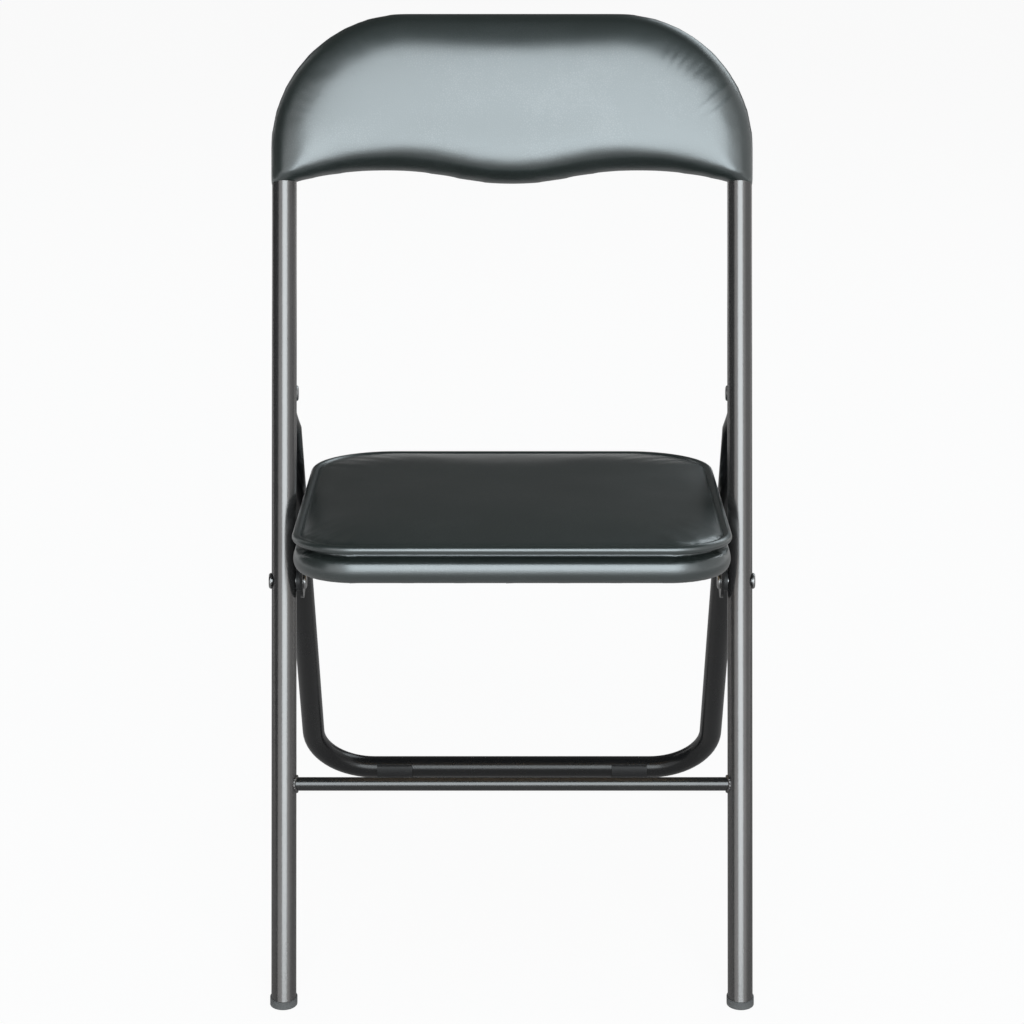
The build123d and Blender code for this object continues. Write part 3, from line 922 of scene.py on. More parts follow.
@dataclass
class Seat:
    """Padded seat: a crowned top and a bulging side band, sewn together at a welt."""

    plan: SeatPlan = field(default_factory=SeatPlan)
    underside: float = 42.2 * MM
    board_top: float = 52 * MM
    band_top: float = 63.2 * MM
    edge_top: float = 75.2 * MM
    band_rim: float = 4 * MM
    top_rim: float = 2 * MM
    crown: float = 5.5 * MM
    crown_reach: float = 45 * MM
    band_margin: float = 4.8 * MM
    top_margin: float = 7 * MM
    neck_margin: float = 11.5 * MM
    panel_bottom: float = 43 * MM
    panel_margin: float = 13 * MM
    panel_thick: float = 8 * MM
    panel_edge: float = 0.8 * MM
    hem_width: float = 21 * MM
    hem_fade: float = 3 * MM
    hem_thick: float = 4 * MM
    welt_radius: float = 3.8 * MM
    welt_sides: int = 14
    welt_steps: int = 12
    welt_bend_steps: int = 16
    voxel: float = 3.6 * MM
    top_swell: float = 7 * MM
    band_swell: float = 4.6 * MM
    band_bulge: float = 0.9 * MM
    band_round: float = 6.2 * MM
    foot_round: float = 8.5 * MM
    band_reach: float = 14 * MM
    pucker_depth: float = 0.5 * MM
    pucker_length: float = 13 * MM
    pucker_reach: float = 20 * MM
    pucker_wander: float = 40 * MM
    slack_depth: float = 0.7 * MM
    slack_length: float = 85 * MM
    staple_gap: float = 42 * MM
    staple_length: float = 10 * MM
    staple_wire: float = 0.7 * MM
    staple_edge: float = 0.22 * MM
    staple_sink: float = 0.1 * MM
    staple_slant: float = 0.25
    side_staples: tuple[float, ...] = (-110 * MM, -70 * MM)

    @property
    def welt_height(self) -> float:
        """Height of the welt's middle."""
        return self.edge_top - self.welt_radius

    def build(self) -> None:
        """Make the cushion, its welt, its panel and its staples."""
        self.build_cushion()
        self.build_welt()
        self.build_panel()
        self.build_staples()

    def build_cushion(self) -> Piece:
        """Make the cushion, swollen between its seams.

        Returns:
            The cushion.
        """
        mesh = self.plan.block(self.band_margin, self.underside, self.band_top)
        bevel(mesh, edges_at(mesh, self.band_top), self.band_rim, 3)
        upper = self.plan.block(self.top_margin, self.board_top, self.edge_top)
        bevel(upper, edges_at(upper, self.edge_top), self.top_rim, 2)
        loose = bpy.data.meshes.new("upper")
        upper.to_mesh(loose)
        upper.free()
        mesh.from_mesh(loose)
        bpy.data.meshes.remove(loose)
        cushion = add_object("seat_cushion", mesh)
        remesh(cushion, self.voxel)
        move_vertices(cushion, self.raise_crown)
        Inflation().run(cushion, self.is_sewn, self.swell_limit)
        relax(cushion, 2)
        subdivide(cushion)
        relax(cushion, 2)
        move_vertices(cushion, self.draw_in)
        return finish_piece(cushion, PLANES.seat(), Body.SEAT, Slot.VINYL, ["seat_pad"])

    def raise_crown(self, place: Vector) -> Vector:
        """Work out the start of the crown, above the welt.

        Args:
            place: A point of the cushion.

        Returns:
            The point's shift.
        """
        share = ease(place.z, self.welt_height, self.edge_top)
        depth = max(0.0, self.plan.measure(place).depth - self.top_margin)
        return Vector((0, 0, share * self.crown * (1 - math.exp(-depth / self.crown_reach))))

    def is_sewn(self, place: Vector) -> bool:
        """Tell whether a point lies on the board or in the welt's seam.

        Args:
            place: A point of the cushion.

        Returns:
            Whether it stays where it is.
        """
        depth = self.plan.measure(place).depth
        at_welt = depth < self.top_margin + 2 * MM and self.band_top < place.z < self.edge_top + MM
        return at_welt or place.z < self.underside + 2.5 * MM

    def swell_limit(self, place: Vector) -> float:
        """Return how far a point of the cushion may swell."""
        return self.top_swell if place.z > self.welt_height else self.band_swell

    def draw_in(self, place: Vector) -> Vector:
        """Work out the shift that gives the swollen cushion its form.

        Args:
            place: A point of the cushion.

        Returns:
            The top's puckers, the bare board inside the hem, or the side band's roll.
        """
        edge = self.plan.measure(place)
        if place.z > self.edge_top - 2 * MM:
            return Vector((0, 0, self.pucker(place, edge)))
        if place.z < self.underside + 1.5 * MM and edge.depth > self.band_bulge + self.foot_round:
            inside = ease(edge.depth, self.hem_width - self.hem_fade, self.hem_width + self.hem_fade)
            return Vector((0, 0, self.underside - place.z + self.hem_thick * inside))
        if edge.depth < self.band_reach:
            return edge.outwards * (edge.depth - self.band_depth(place.z))
        return Vector()

    def pucker(self, place: Vector, edge: EdgeMeasure) -> float:
        """Work out the puckers at the top's corners, deeper at the rear, and its slack.

        Args:
            place: A point of the top.
            edge: Its measure against the outline.

        Returns:
            How far the point rises.
        """
        wander = noise.noise(place / self.pucker_wander)
        reach = math.exp(-max(0.0, edge.depth - self.top_margin) / self.pucker_reach)
        wave = math.sin(2 * math.pi * edge.run / self.pucker_length + 3 * wander)
        slack = noise.noise(place / self.slack_length) * ease(edge.depth, 10 * MM, 60 * MM)
        pucker = self.pucker_depth * edge.corner * reach * wave * (0.55 + 0.45 * wander)
        pucker *= 0.4 + 0.6 * ease(place.y, 0, self.plan.rear)
        return pucker + self.slack_depth * slack

    def band_depth(self, height: float) -> float:
        """Work out the side band's section: a roll, with a neck under the welt.

        Args:
            height: The height of a point.

        Returns:
            How far the band lies inside the outline there.
        """
        half = (self.band_top - self.underside) / 2
        share = (height - self.underside - half) / half
        inset = self.band_round if share > 0 else self.foot_round
        roll = self.band_bulge + inset * (1 - math.sqrt(max(0.0, 1 - share * share)))
        seam = ease(height, self.welt_height - 2 * MM, self.welt_height + MM)
        neck = self.neck_margin + (self.top_margin - self.neck_margin) * seam
        return roll + (neck - roll) * ease(height, self.band_top - 1.5 * MM, self.band_top + 0.5 * MM)

    def build_panel(self) -> Piece:
        """Make the plywood panel, whose edge lies under the turned-in hem.

        Returns:
            The panel.
        """
        top = self.panel_bottom + self.panel_thick
        mesh = self.plan.block(self.panel_margin, self.panel_bottom, top)
        bevel(mesh, edges_at(mesh, self.panel_bottom), self.panel_edge, 2)
        panel = add_object("seat_panel", mesh)
        return finish_piece(panel, PLANES.seat(), Body.SEAT, Slot.PLYWOOD, ["seat_board"])

    def build_staples(self) -> Piece:
        """Make the staples that hold the turned-under hem, clear of the brackets.

        Returns:
            The staples.
        """
        mesh = bmesh.new()
        plan = self.plan
        inset = self.hem_width / 2
        rows = []
        for edge, radius in ((plan.front + inset, plan.front_radius), (plan.rear - inset, plan.rear_radius)):
            reach = plan.half_width - radius
            count = int(2 * reach / self.staple_gap)
            rows += [(-reach + 2 * reach * i / count, edge, 0.0) for i in range(count + 1)]
        for side in (-1, 1):
            rows += [(side * (plan.half_width - inset), along, math.pi / 2) for along in self.side_staples]
        for x, y, turn in rows:
            slant = self.staple_slant * noise.noise((31 * x, 37 * y, 0.5))
            place = Matrix.Translation((x, y, self.underside - self.staple_sink))
            size = (self.staple_length, self.staple_wire, self.staple_wire)
            add_bar(mesh, size, place @ Matrix.Rotation(turn + slant, 4, "Z"))
        bevel(mesh, mesh.edges, self.staple_edge, 2)
        return finish_piece(add_object("seat_staples", mesh), PLANES.seat(), Body.SEAT, Slot.ZINC)

    def build_welt(self) -> Piece:
        """Make the welt: a round cord drawn along the outline, a straight and a corner at a time.

        Returns:
            The welt.
        """
        mesh = bmesh.new()
        plan = self.plan
        side = plan.half_width - self.welt_radius
        start = Vector((side, (plan.front + plan.rear) / 2, self.welt_height))
        turn = Matrix.Translation(start) @ Matrix.Rotation(math.pi / 2, 4, "X")
        _, loop = add_ring(mesh, self.welt_radius, self.welt_sides, turn)
        rear, front = (plan.rear, plan.rear_radius, 1), (plan.front, plan.front_radius, -1)
        corners = ((rear, 1), (rear, -1), (front, -1), (front, 1))
        for number, ((edge, bend, way), across) in enumerate(corners):
            centre = Vector((across * (plan.half_width - bend), edge - way * bend, self.welt_height))
            gap = centre - self.middle_of(loop)
            step = Vector((0, gap.y, 0)) if number % 2 == 0 else Vector((gap.x, 0, 0))
            loop = self.draw_straight(mesh, loop, step)
            spun = bmesh.ops.spin(
                mesh,
                geom=loop,
                cent=centre,
                axis=(0, 0, 1),
                angle=math.pi / 2,
                steps=self.welt_bend_steps,
            )["geom_last"]
            loop = new_edges(spun)
        self.draw_straight(mesh, loop, Vector((0, start.y - self.middle_of(loop).y, 0)))
        bmesh.ops.remove_doubles(mesh, verts=mesh.verts, dist=0.1 * MM)
        bmesh.ops.recalc_face_normals(mesh, faces=mesh.faces)
        welt = add_object("seat_piping", mesh)
        return finish_piece(welt, PLANES.seat(), Body.SEAT, Slot.VINYL, ["seat_welt"])

    @staticmethod
    def middle_of(loop: list[Edge]) -> Vector:
        """Return the middle of a ring of edges."""
        return sum((v.co for e in loop for v in e.verts), Vector()) / (2 * len(loop))

    def draw_straight(self, mesh: Mesh, loop: list[Edge], step: Vector) -> list[Edge]:
        """Extrude a ring of edges along a straight.

        Args:
            mesh: The welt's mesh.
            loop: The ring at its end.
            step: The straight.

        Returns:
            The new ring.
        """
        for _ in range(self.welt_steps):
            grown = bmesh.ops.extrude_edge_only(mesh, edges=loop)["geom"]
            tips = new_verts(grown)
            bmesh.ops.translate(mesh, vec=step / self.welt_steps, verts=tips)
            ends = set(tips)
            loop = [edge for edge in new_edges(grown) if ends.issuperset(edge.verts)]
        return loop


@dataclass(frozen=True)
class Crease:
    """A short crease in the back's cover, in the front frame's plane."""

    x: float
    y: float
    angle_deg: float
    length: float
    width: float
    rise: float

    def height(self, place: Vector) -> float:
        """Work out the crease's section.

        Args:
            place: A point of the cover.

        Returns:
            How far the crease lifts the point.
        """
        turn = math.radians(self.angle_deg)
        dx, dy = place.x - self.x, place.y - self.y
        along = dx * math.cos(turn) + dy * math.sin(turn)
        across = dy * math.cos(turn) - dx * math.sin(turn)
        return self.rise * math.exp(-((along / self.length) ** 2) - (across / self.width) ** 2)


@dataclass
class Back:
    """Padded sleeve over the top bend of the front tube, with a wavy hem."""

    side: float = 213 * MM
    top: float = 873 * MM
    bend: float = 119 * MM
    bend_steps: int = 36
    hem_side: float = 716.5 * MM
    hem_crest: float = 734.5 * MM
    hem_dip: float = 722.5 * MM
    hem_steps: int = 12
    crest_x: float = 104 * MM
    front_start: float = 12.3 * MM
    rear_face: float = -12.3 * MM
    rear_grip: float = 6 * MM
    rim: float = 10.5 * MM
    wrap: float = 6 * MM
    arch_roll: float = 22 * MM
    plateau: float = 18.4 * MM
    swell_roll: float = 17 * MM
    hem_roll: float = 21 * MM
    hem_edge: float = 4 * MM
    hem_fade: tuple[float, float] = (130 * MM, 190 * MM)
    voxel: float = 4 * MM
    swell: float = 3 * MM
    rear_swell: float = 0.4 * MM
    seam_at: float = -6 * MM
    seam_depth: float = 0.7 * MM
    seam_width: float = 2.2 * MM
    seam_reach: float = 8 * MM
    seam_end: float = 6 * MM
    flat_radius: float = 6.2 * MM
    flat_fade: tuple[float, float] = (3 * MM, 7.5 * MM)
    gather_depth: float = 0.1 * MM
    gather_length: float = 11.5 * MM
    gather_start: tuple[float, float] = (6 * MM, 20 * MM)
    gather_end: tuple[float, float] = (24 * MM, 58 * MM)
    gather_wander: float = 35 * MM
    gather_patch: float = 24 * MM
    stitch_reach: float = 179 * MM
    stitch_gap: float = 5 * MM
    stitch_length: float = 3.4 * MM
    stitch_thick: float = 0.7 * MM
    stitch_edge: float = 0.25 * MM
    stitch_rise: float = 13 * MM
    creases: tuple[Crease, ...] = (
        Crease(178 * MM, 797 * MM, 42, 16 * MM, 2.4 * MM, 0.42 * MM),
        Crease(185 * MM, 789 * MM, 45, 13 * MM, 2.2 * MM, 0.34 * MM),
    )

    def build(self) -> Piece:
        """Make the sleeve, swollen in front and flat behind, and its stitches.

        Returns:
            The sleeve.
        """
        mesh = bmesh.new()
        face = self.draw_outline(mesh)
        grown = bmesh.ops.extrude_face_region(mesh, geom=[face])["geom"]
        thick = self.front_start - self.rear_face
        bmesh.ops.translate(mesh, vec=(0, 0, thick), verts=new_verts(grown))
        bmesh.ops.recalc_face_normals(mesh, faces=mesh.faces)
        rims = edges_at(mesh, self.rear_face) + edges_at(mesh, self.front_start)
        bevel(mesh, rims, self.rim, 5)
        sleeve = add_object("back_sleeve", mesh)
        remesh(sleeve, self.voxel)
        move_vertices(sleeve, self.round_front)
        move_vertices(sleeve, self.round_hem)
        Inflation().run(sleeve, self.is_held, self.swell_limit)
        relax(sleeve, 3)
        subdivide(sleeve)
        relax(sleeve, 2)
        move_vertices(sleeve, self.draw_in)
        self.build_stitches(sleeve)
        return finish_piece(sleeve, PLANES.front(), Body.FRONT, Slot.VINYL, ["back_pad", "back_cover"])

    def past_bend(self, place: Vector) -> Vector:
        """Return how far a point lies beyond the middle of the nearer bend, sideways and upwards."""
        return Vector((abs(place.x) - self.side + self.bend, place.y - self.top + self.bend))

    def arch_depth(self, place: Vector) -> float:
        """Measure a point against the sleeve's sides, bends and top.

        Args:
            place: A point of the sleeve.

        Returns:
            How far the point lies inside them.
        """
        out = self.past_bend(place)
        if out.x > 0 and out.y > 0:
            return self.bend - out.length
        return min(self.side - abs(place.x), self.top - place.y)

    def hem_depth(self, place: Vector) -> float:
        """Measure a point against the wavy hem.

        Args:
            place: A point of the sleeve.

        Returns:
            How far the point lies above the hem.
        """
        across = abs(place.x)
        if across < self.crest_x:
            share = (1 - math.cos(math.pi * across / self.crest_x)) / 2
            return place.y - self.hem_dip - (self.hem_crest - self.hem_dip) * share
        share = (across - self.crest_x) / (self.side - self.crest_x)
        return place.y - self.hem_crest + (self.hem_crest - self.hem_side) * share * share

    def round_front(self, place: Vector) -> Vector:
        """Work out the shift that rolls the pad's front over towards the sides and the top.

        Args:
            place: A point of the slab that the sleeve starts as.

        Returns:
            The point's shift.
        """
        if place.z <= 0:
            return Vector()
        depth = self.arch_depth(place)
        slab = self.front_start - self.rim * (1 - round_over(depth / self.rim))
        front = max(slab, self.plateau) * round_over(max(depth, MM) / self.arch_roll)
        share = min(1.0, place.z / slab)
        return Vector((0, 0, share * front - place.z))

    def round_hem(self, place: Vector) -> Vector:
        """Work out the shift that thins the pad towards its hem, between the tubes.

        Args:
            place: A point of the sleeve.

        Returns:
            The point's shift.
        """
        thin = 1 - round_over((self.hem_depth(place) + self.hem_edge) / self.hem_roll)
        between = 1 - ease(abs(place.x), *self.hem_fade)
        return Vector((0, 0, (self.rear_face - place.z) * thin * between))

    def draw_outline(self, mesh: Mesh) -> bmesh.types.BMFace:
        """Draw the outline from the right hem round over the top and back along the hem.

        Args:
            mesh: The empty mesh to draw in.

        Returns:
            The outline's face.
        """
        shoulder = self.top - self.bend
        across = self.side - self.bend
        half_dip = (self.crest_x / 2, (self.hem_crest + self.hem_dip) / 2)
        pen = bmesh.ops.create_vert(mesh, co=(self.side, self.hem_side, self.rear_face))["vert"][0]
        pen = self.line_to(mesh, pen, (self.side, shoulder))
        pen = self.arc_to(mesh, pen, (across, shoulder), math.pi / 2, self.bend_steps)
        pen = self.line_to(mesh, pen, (-across, self.top))
        pen = self.arc_to(mesh, pen, (-across, shoulder), math.pi / 2, self.bend_steps)
        pen = self.line_to(mesh, pen, (-self.side, self.hem_side))
        waves = (
            ((-self.side, self.hem_side), (-self.crest_x, self.hem_crest), (-half_dip[0], half_dip[1])),
            ((-half_dip[0], half_dip[1]), (0, self.hem_dip), half_dip),
            (half_dip, (self.crest_x, self.hem_crest), (self.side, self.hem_side)),
        )
        for wave in waves:
            centre, angle = self.arc_through(*map(Vector, wave))
            pen = self.arc_to(mesh, pen, centre, angle, self.hem_steps)
        bmesh.ops.remove_doubles(mesh, verts=mesh.verts, dist=0.5 * MM)
        bmesh.ops.contextual_create(mesh, geom=list(mesh.edges))
        mesh.faces.ensure_lookup_table()
        return mesh.faces[0]

    def line_to(self, mesh: Mesh, pen: Vert, end: tuple[float, float]) -> Vert:
        """Draw a straight line.

        Args:
            mesh: The outline's mesh.
            pen: The vertex to start from.
            end: The line's end.

        Returns:
            The vertex at its end.
        """
        tip = bmesh.ops.extrude_vert_indiv(mesh, verts=[pen])["verts"][0]
        tip.co = (*end, self.rear_face)
        return tip

    def arc_to(self, mesh: Mesh, pen: Vert, centre: Sequence[float], angle: float, steps: int) -> Vert:
        """Draw an arc.

        Args:
            mesh: The outline's mesh.
            pen: The vertex to start from.
            centre: The arc's centre.
            angle: Its turn, anticlockwise where it is positive.
            steps: The number of its edges.

        Returns:
            The vertex at its end.
        """
        spun = bmesh.ops.spin(
            mesh,
            geom=[pen],
            cent=(centre[0], centre[1], self.rear_face),
            axis=(0, 0, 1),
            angle=angle,
            steps=steps,
        )["geom_last"]
        return new_verts(spun)[0]

    @staticmethod
    def arc_through(start: Vector, middle: Vector, end: Vector) -> tuple[Vector, float]:
        """Find the arc through three points.

        Args:
            start: The point where it starts.
            middle: The point halfway along it.
            end: The point where it ends.

        Returns:
            The arc's centre and its turn.
        """
        first, second = middle - start, end - middle
        turn = 2 * first.angle_signed(second, 0.0)
        chord = end - start
        sag = chord.length / (2 * math.tan(turn / 2))
        left = Vector((-chord.y, chord.x)).normalized()
        return (start + end) / 2 - left * sag, -turn

    def is_held(self, place: Vector) -> bool:
        """Tell whether a point of the sleeve lies on the tube or on the board behind it."""
        return place.z < self.rear_face + self.rear_grip or self.arch_depth(place) < self.wrap + 2 * MM

    def swell_limit(self, place: Vector) -> float:
        """Return how far a point of the sleeve may swell."""
        inside = min(self.arch_depth(place) - self.wrap, self.hem_depth(place))
        return self.rear_swell + self.swell * round_over(inside / self.swell_roll)

    def draw_in(self, place: Vector) -> Vector:
        """Work out the shift that gives the swollen sleeve its details.

        Args:
            place: A point of the sleeve.

        Returns:
            The creases and gathers in front, the flats under the screws and the seam round the edge.
        """
        depth = self.arch_depth(place)
        shift = Vector((0, 0, self.gather(place, depth) + self.screw_flat(place)))
        if depth < self.seam_reach and self.hem_depth(place) > self.seam_end:
            groove = math.exp(-(((place.z - self.seam_at) / self.seam_width) ** 2))
            inwards = Vector((-place.x, self.top - self.bend - place.y, 0))
            shift += inwards.normalized() * self.seam_depth * groove
        return shift

    def gather(self, place: Vector, depth: float) -> float:
        """Work out the creases, and the gathers at the top corners.

        Args:
            place: A point of the sleeve.
            depth: How far it lies inside the sleeve's sides and top.

        Returns:
            How far the point rises, which is nothing behind.
        """
        if place.z <= 0:
            return 0.0
        lift = sum(crease.height(place) for crease in self.creases)
        out = self.past_bend(place)
        if out.x > 0 and out.y > 0:
            angle = math.atan2(out.y, out.x)
            wander = noise.noise(place / self.gather_wander)
            wave = math.sin(2 * math.pi * self.bend * angle / self.gather_length + 4 * wander)
            reach = ease(depth, *self.gather_start) * (1 - ease(depth, *self.gather_end))
            patch = 0.5 + 1.3 * noise.noise(place / self.gather_patch)
            lift += self.gather_depth * wave * reach * math.sin(2 * angle) * patch
        return lift

    def screw_flat(self, place: Vector) -> float:
        """Work out the flats that the screws' heads sit on.

        Args:
            place: A point of the sleeve.

        Returns:
            How far the point moves forwards, which is nothing in front.
        """
        shift = 0.0
        for x, height in BACK_SCREWS:
            away = math.hypot(abs(place.x) - x, place.y - height) / self.flat_radius
            flat = math.exp(-(away**4)) * ease(-place.z, *self.flat_fade)
            shift += (BACK_SCREW_SEAT - place.z) * flat
        return shift

    def build_stitches(self, sleeve: Piece) -> Piece:
        """Make the row of stitches that closes the hem behind.

        Args:
            sleeve: The sleeve, still in the front frame's plane.

        Returns:
            The stitches, which lie on the sleeve's rear.
        """
        mesh = bmesh.new()
        count = int(2 * self.stitch_reach / self.stitch_gap)
        size = (self.stitch_length, self.stitch_thick, self.stitch_thick)
        for number in range(count + 1):
            x = self.stitch_reach * (2 * number / count - 1)
            low, high = (-self.hem_depth(Vector((at, 0, 0))) for at in (x - MM, x + MM))
            start = Vector((x, (low + high) / 2 + self.stitch_rise, 2 * self.rear_face))
            hit, point, _, _ = sleeve.ray_cast(start, Vector((0, 0, 1)))
            if hit:
                turn = Matrix.Rotation(math.atan2(high - low, 2 * MM), 4, "Z")
                add_bar(mesh, size, Matrix.Translation(point) @ turn)
        bevel(mesh, mesh.edges, self.stitch_edge, 2)
        return finish_piece(add_object("hem_stitches", mesh), PLANES.front(), Body.FRONT, Slot.NYLON)


@dataclass(frozen=True)
class Screw:
    """A pan-head screw with a cross recess.

    The dome's points are shares of the head's radius and rise.
    """

    head_radius: float = 4.2 * MM
    head_rise: float = 2.4 * MM
    dome: tuple[tuple[float, float], ...] = (
        (1, 0),
        (1, 0.3),
        (0.93, 0.6),
        (0.72, 0.88),
        (0.4, 0.98),
        (0, 1),
    )
    dome_steps: int = 28
    shank_radius: float = 2.0 * MM
    slot_width: float = 1.1 * MM
    slot_length: float = 4.8 * MM
    slot_depth: float = 1.3 * MM

    def add_to(self, mesh: Mesh, place: Matrix, shank: float) -> None:
        """Add a screw whose head sits on a plane and whose shank runs along -Z.

        Args:
            mesh: The mesh to add to.
            place: The plane under the head.
            shank: The shank's length.
        """
        head = bmesh.new()
        outline = [(self.shank_radius, -shank), (self.shank_radius, 0)]
        outline += [(x * self.head_radius, z * self.head_rise) for x, z in self.dome]
        profile = [head.verts.new((x, 0, z)) for x, z in outline]
        edges = [head.edges.new(pair) for pair in zip(profile, profile[1:])]
        spin_round(head, profile + edges, (0, 0, 1), self.dome_steps)
        bmesh.ops.holes_fill(head, edges=[e for e in head.edges if e.is_boundary], sides=0)
        bmesh.ops.recalc_face_normals(head, faces=head.faces)
        body = add_object("screw_head", head)
        tools = []
        for length, width in ((self.slot_length, self.slot_width), (self.slot_width, self.slot_length)):
            cutter = bmesh.new()
            size = (length, width, 2 * self.slot_depth)
            add_bar(cutter, size, Matrix.Translation((0, 0, self.head_rise)))
            tools.append(add_object("screw_slot", cutter))
            cut = body.modifiers.new("slot", "BOOLEAN")
            cut.object = tools[-1]
            cut.solver = "EXACT"
        bake_modifiers(body)
        body.data.transform(place)
        mesh.from_mesh(body.data)
        for spare in (body, *tools):
            bpy.data.objects.remove(spare)


@dataclass
class Fixings:
    """Screws of the seat and of the back, and the weld beads of the front frame."""

    screw: Screw = field(default_factory=Screw)
    shank: float = 7 * MM
    recess_turn: float = 0.7
    seat_screws: tuple[tuple[float, float], ...] = (
        (172 * MM, -11 * MM),
        (172 * MM, 54 * MM),
        (172 * MM, 119 * MM),
    )
    seat_screw_seat: float = 40.5 * MM
    tube_x: float = 201 * MM
    tube_radius: float = 11 * MM
    stretcher_at: float = 193 * MM
    stretcher_radius: float = 6 * MM
    bead_radius: float = 1.5 * MM
    bead_gap: float = 0.4 * MM
    bead_sink: float = 0.3 * MM
    bead_sides: int = 10
    bead_steps: int = 88
    bead_ripples: int = 22
    ripple_height: float = 0.25 * MM

    @property
    def bead_ring(self) -> float:
        """Radius of a bead's ring, to the middle of the bead."""
        return self.stretcher_radius + self.bead_gap

    def build(self) -> None:
        """Make the screws and the weld beads."""
        self.build_screws("seat", self.seat_screws, self.seat_screw_seat, PLANES.seat(), Body.SEAT)
        self.build_screws("back", BACK_SCREWS, BACK_SCREW_SEAT, PLANES.front(), Body.FRONT)
        for side, sign in (("left", -1), ("right", 1)):
            self.build_stretcher_bead(side, sign)

    def build_screws(
        self,
        group: str,
        places: Iterable[tuple[float, float]],
        height: float,
        plane: Matrix,
        body: Body,
    ) -> Piece:
        """Make a group of screws whose heads point down from a working plane, on both sides.

        Args:
            group: What they hold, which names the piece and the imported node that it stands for.
            places: Each pair's distance from the middle, and its place along the plane.
            height: The height at which the heads sit.
            plane: The working plane.
            body: The body that they ride on.

        Returns:
            The screws.
        """
        mesh = bmesh.new()
        down = Matrix.Rotation(math.pi, 4, "X")
        spots = [Vector((sign * x, y, height)) for x, y in places for sign in (-1, 1)]
        for number, spot in enumerate(spots):
            spin = Matrix.Rotation(self.recess_turn * number, 4, "Z")
            self.screw.add_to(mesh, Matrix.Translation(spot) @ down @ spin, self.shank)
        heads = add_object(f"{group}_screw_heads", mesh)
        return finish_piece(heads, plane, body, Slot.ZINC, [f"{group}_screws"])

    def build_stretcher_bead(self, side: str, sign: int) -> Piece:
        """Make the rippled weld bead where the stretcher meets a front tube.

        Args:
            side: The tube's side, for the bead's name.
            sign: -1 for the left tube, 1 for the right one.

        Returns:
            The bead.
        """
        mesh = bmesh.new()
        start = Matrix.Translation((0, self.bead_ring, 0))
        verts, edges = add_ring(mesh, self.bead_radius, self.bead_sides, start)
        spin_round(mesh, verts + edges, (1, 0, 0), self.bead_steps)
        bmesh.ops.recalc_face_normals(mesh, faces=mesh.faces)
        bead = add_object(f"stretcher_weld_{side}", mesh)
        move_vertices(bead, lambda place: self.bead_shift(place, sign))
        at = Matrix.Translation((0, self.stretcher_at, 0))
        return finish_piece(bead, PLANES.front() @ at, Body.FRONT, Slot.SILVER)

    def bead_shift(self, place: Vector, sign: int) -> Vector:
        """Work out the shift that lays a bead's ring on the tube, with its ripples.

        Args:
            place: A point of the ring.
            sign: -1 for the left tube, 1 for the right one.

        Returns:
            The point's shift.
        """
        angle = math.atan2(place.z, place.y)
        ripple = self.ripple_height * math.sin(self.bead_ripples * angle)
        across = self.bead_ring * math.sin(angle)
        seat = self.tube_x - math.sqrt(self.tube_radius**2 - across**2) - self.bead_sink
        return Vector((sign * seat, ripple * math.cos(angle), ripple * math.sin(angle)))


@dataclass
class Frames:
    """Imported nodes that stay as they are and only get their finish."""

    def dress(self) -> None:
        """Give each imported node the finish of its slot."""
        slots = {row["node"]: Slot(row["material_slot"]) for row in frame["record"]["subparts"]}
        for name, node in frame["nodes"].items():
            finish = FINISH_OF_NODE.get(name, FINISH_OF_SLOT[slots[name]])
            for place in node.material_slots:
                place.material = finish.material()
            LOG.info("%s has the finish %s", name, finish.name)


@dataclass(frozen=True)
class Softbox:
    """A soft rectangular lamp that is aimed at the chair and that the camera doesn't see.

    Directions are in degrees: azimuth 0 is in front of the chair and 90 to its right as seen from the
    front, and elevation is above the horizon. Glossy surfaces show the lamp where it is mirrored.
    """

    name: str
    azimuth: float
    elevation: float
    distance: float
    size: tuple[float, float]
    watts: float
    mirrored: bool = True


@dataclass(frozen=True)
class Flag:
    """A dim panel near the chair that only reflections see.

    Its elevation is 0 for a wall that stands on the floor, 90 for a roof and -90 for the floor.
    """

    name: str
    azimuth: float
    elevation: float
    size: tuple[float, float]
    glow: float


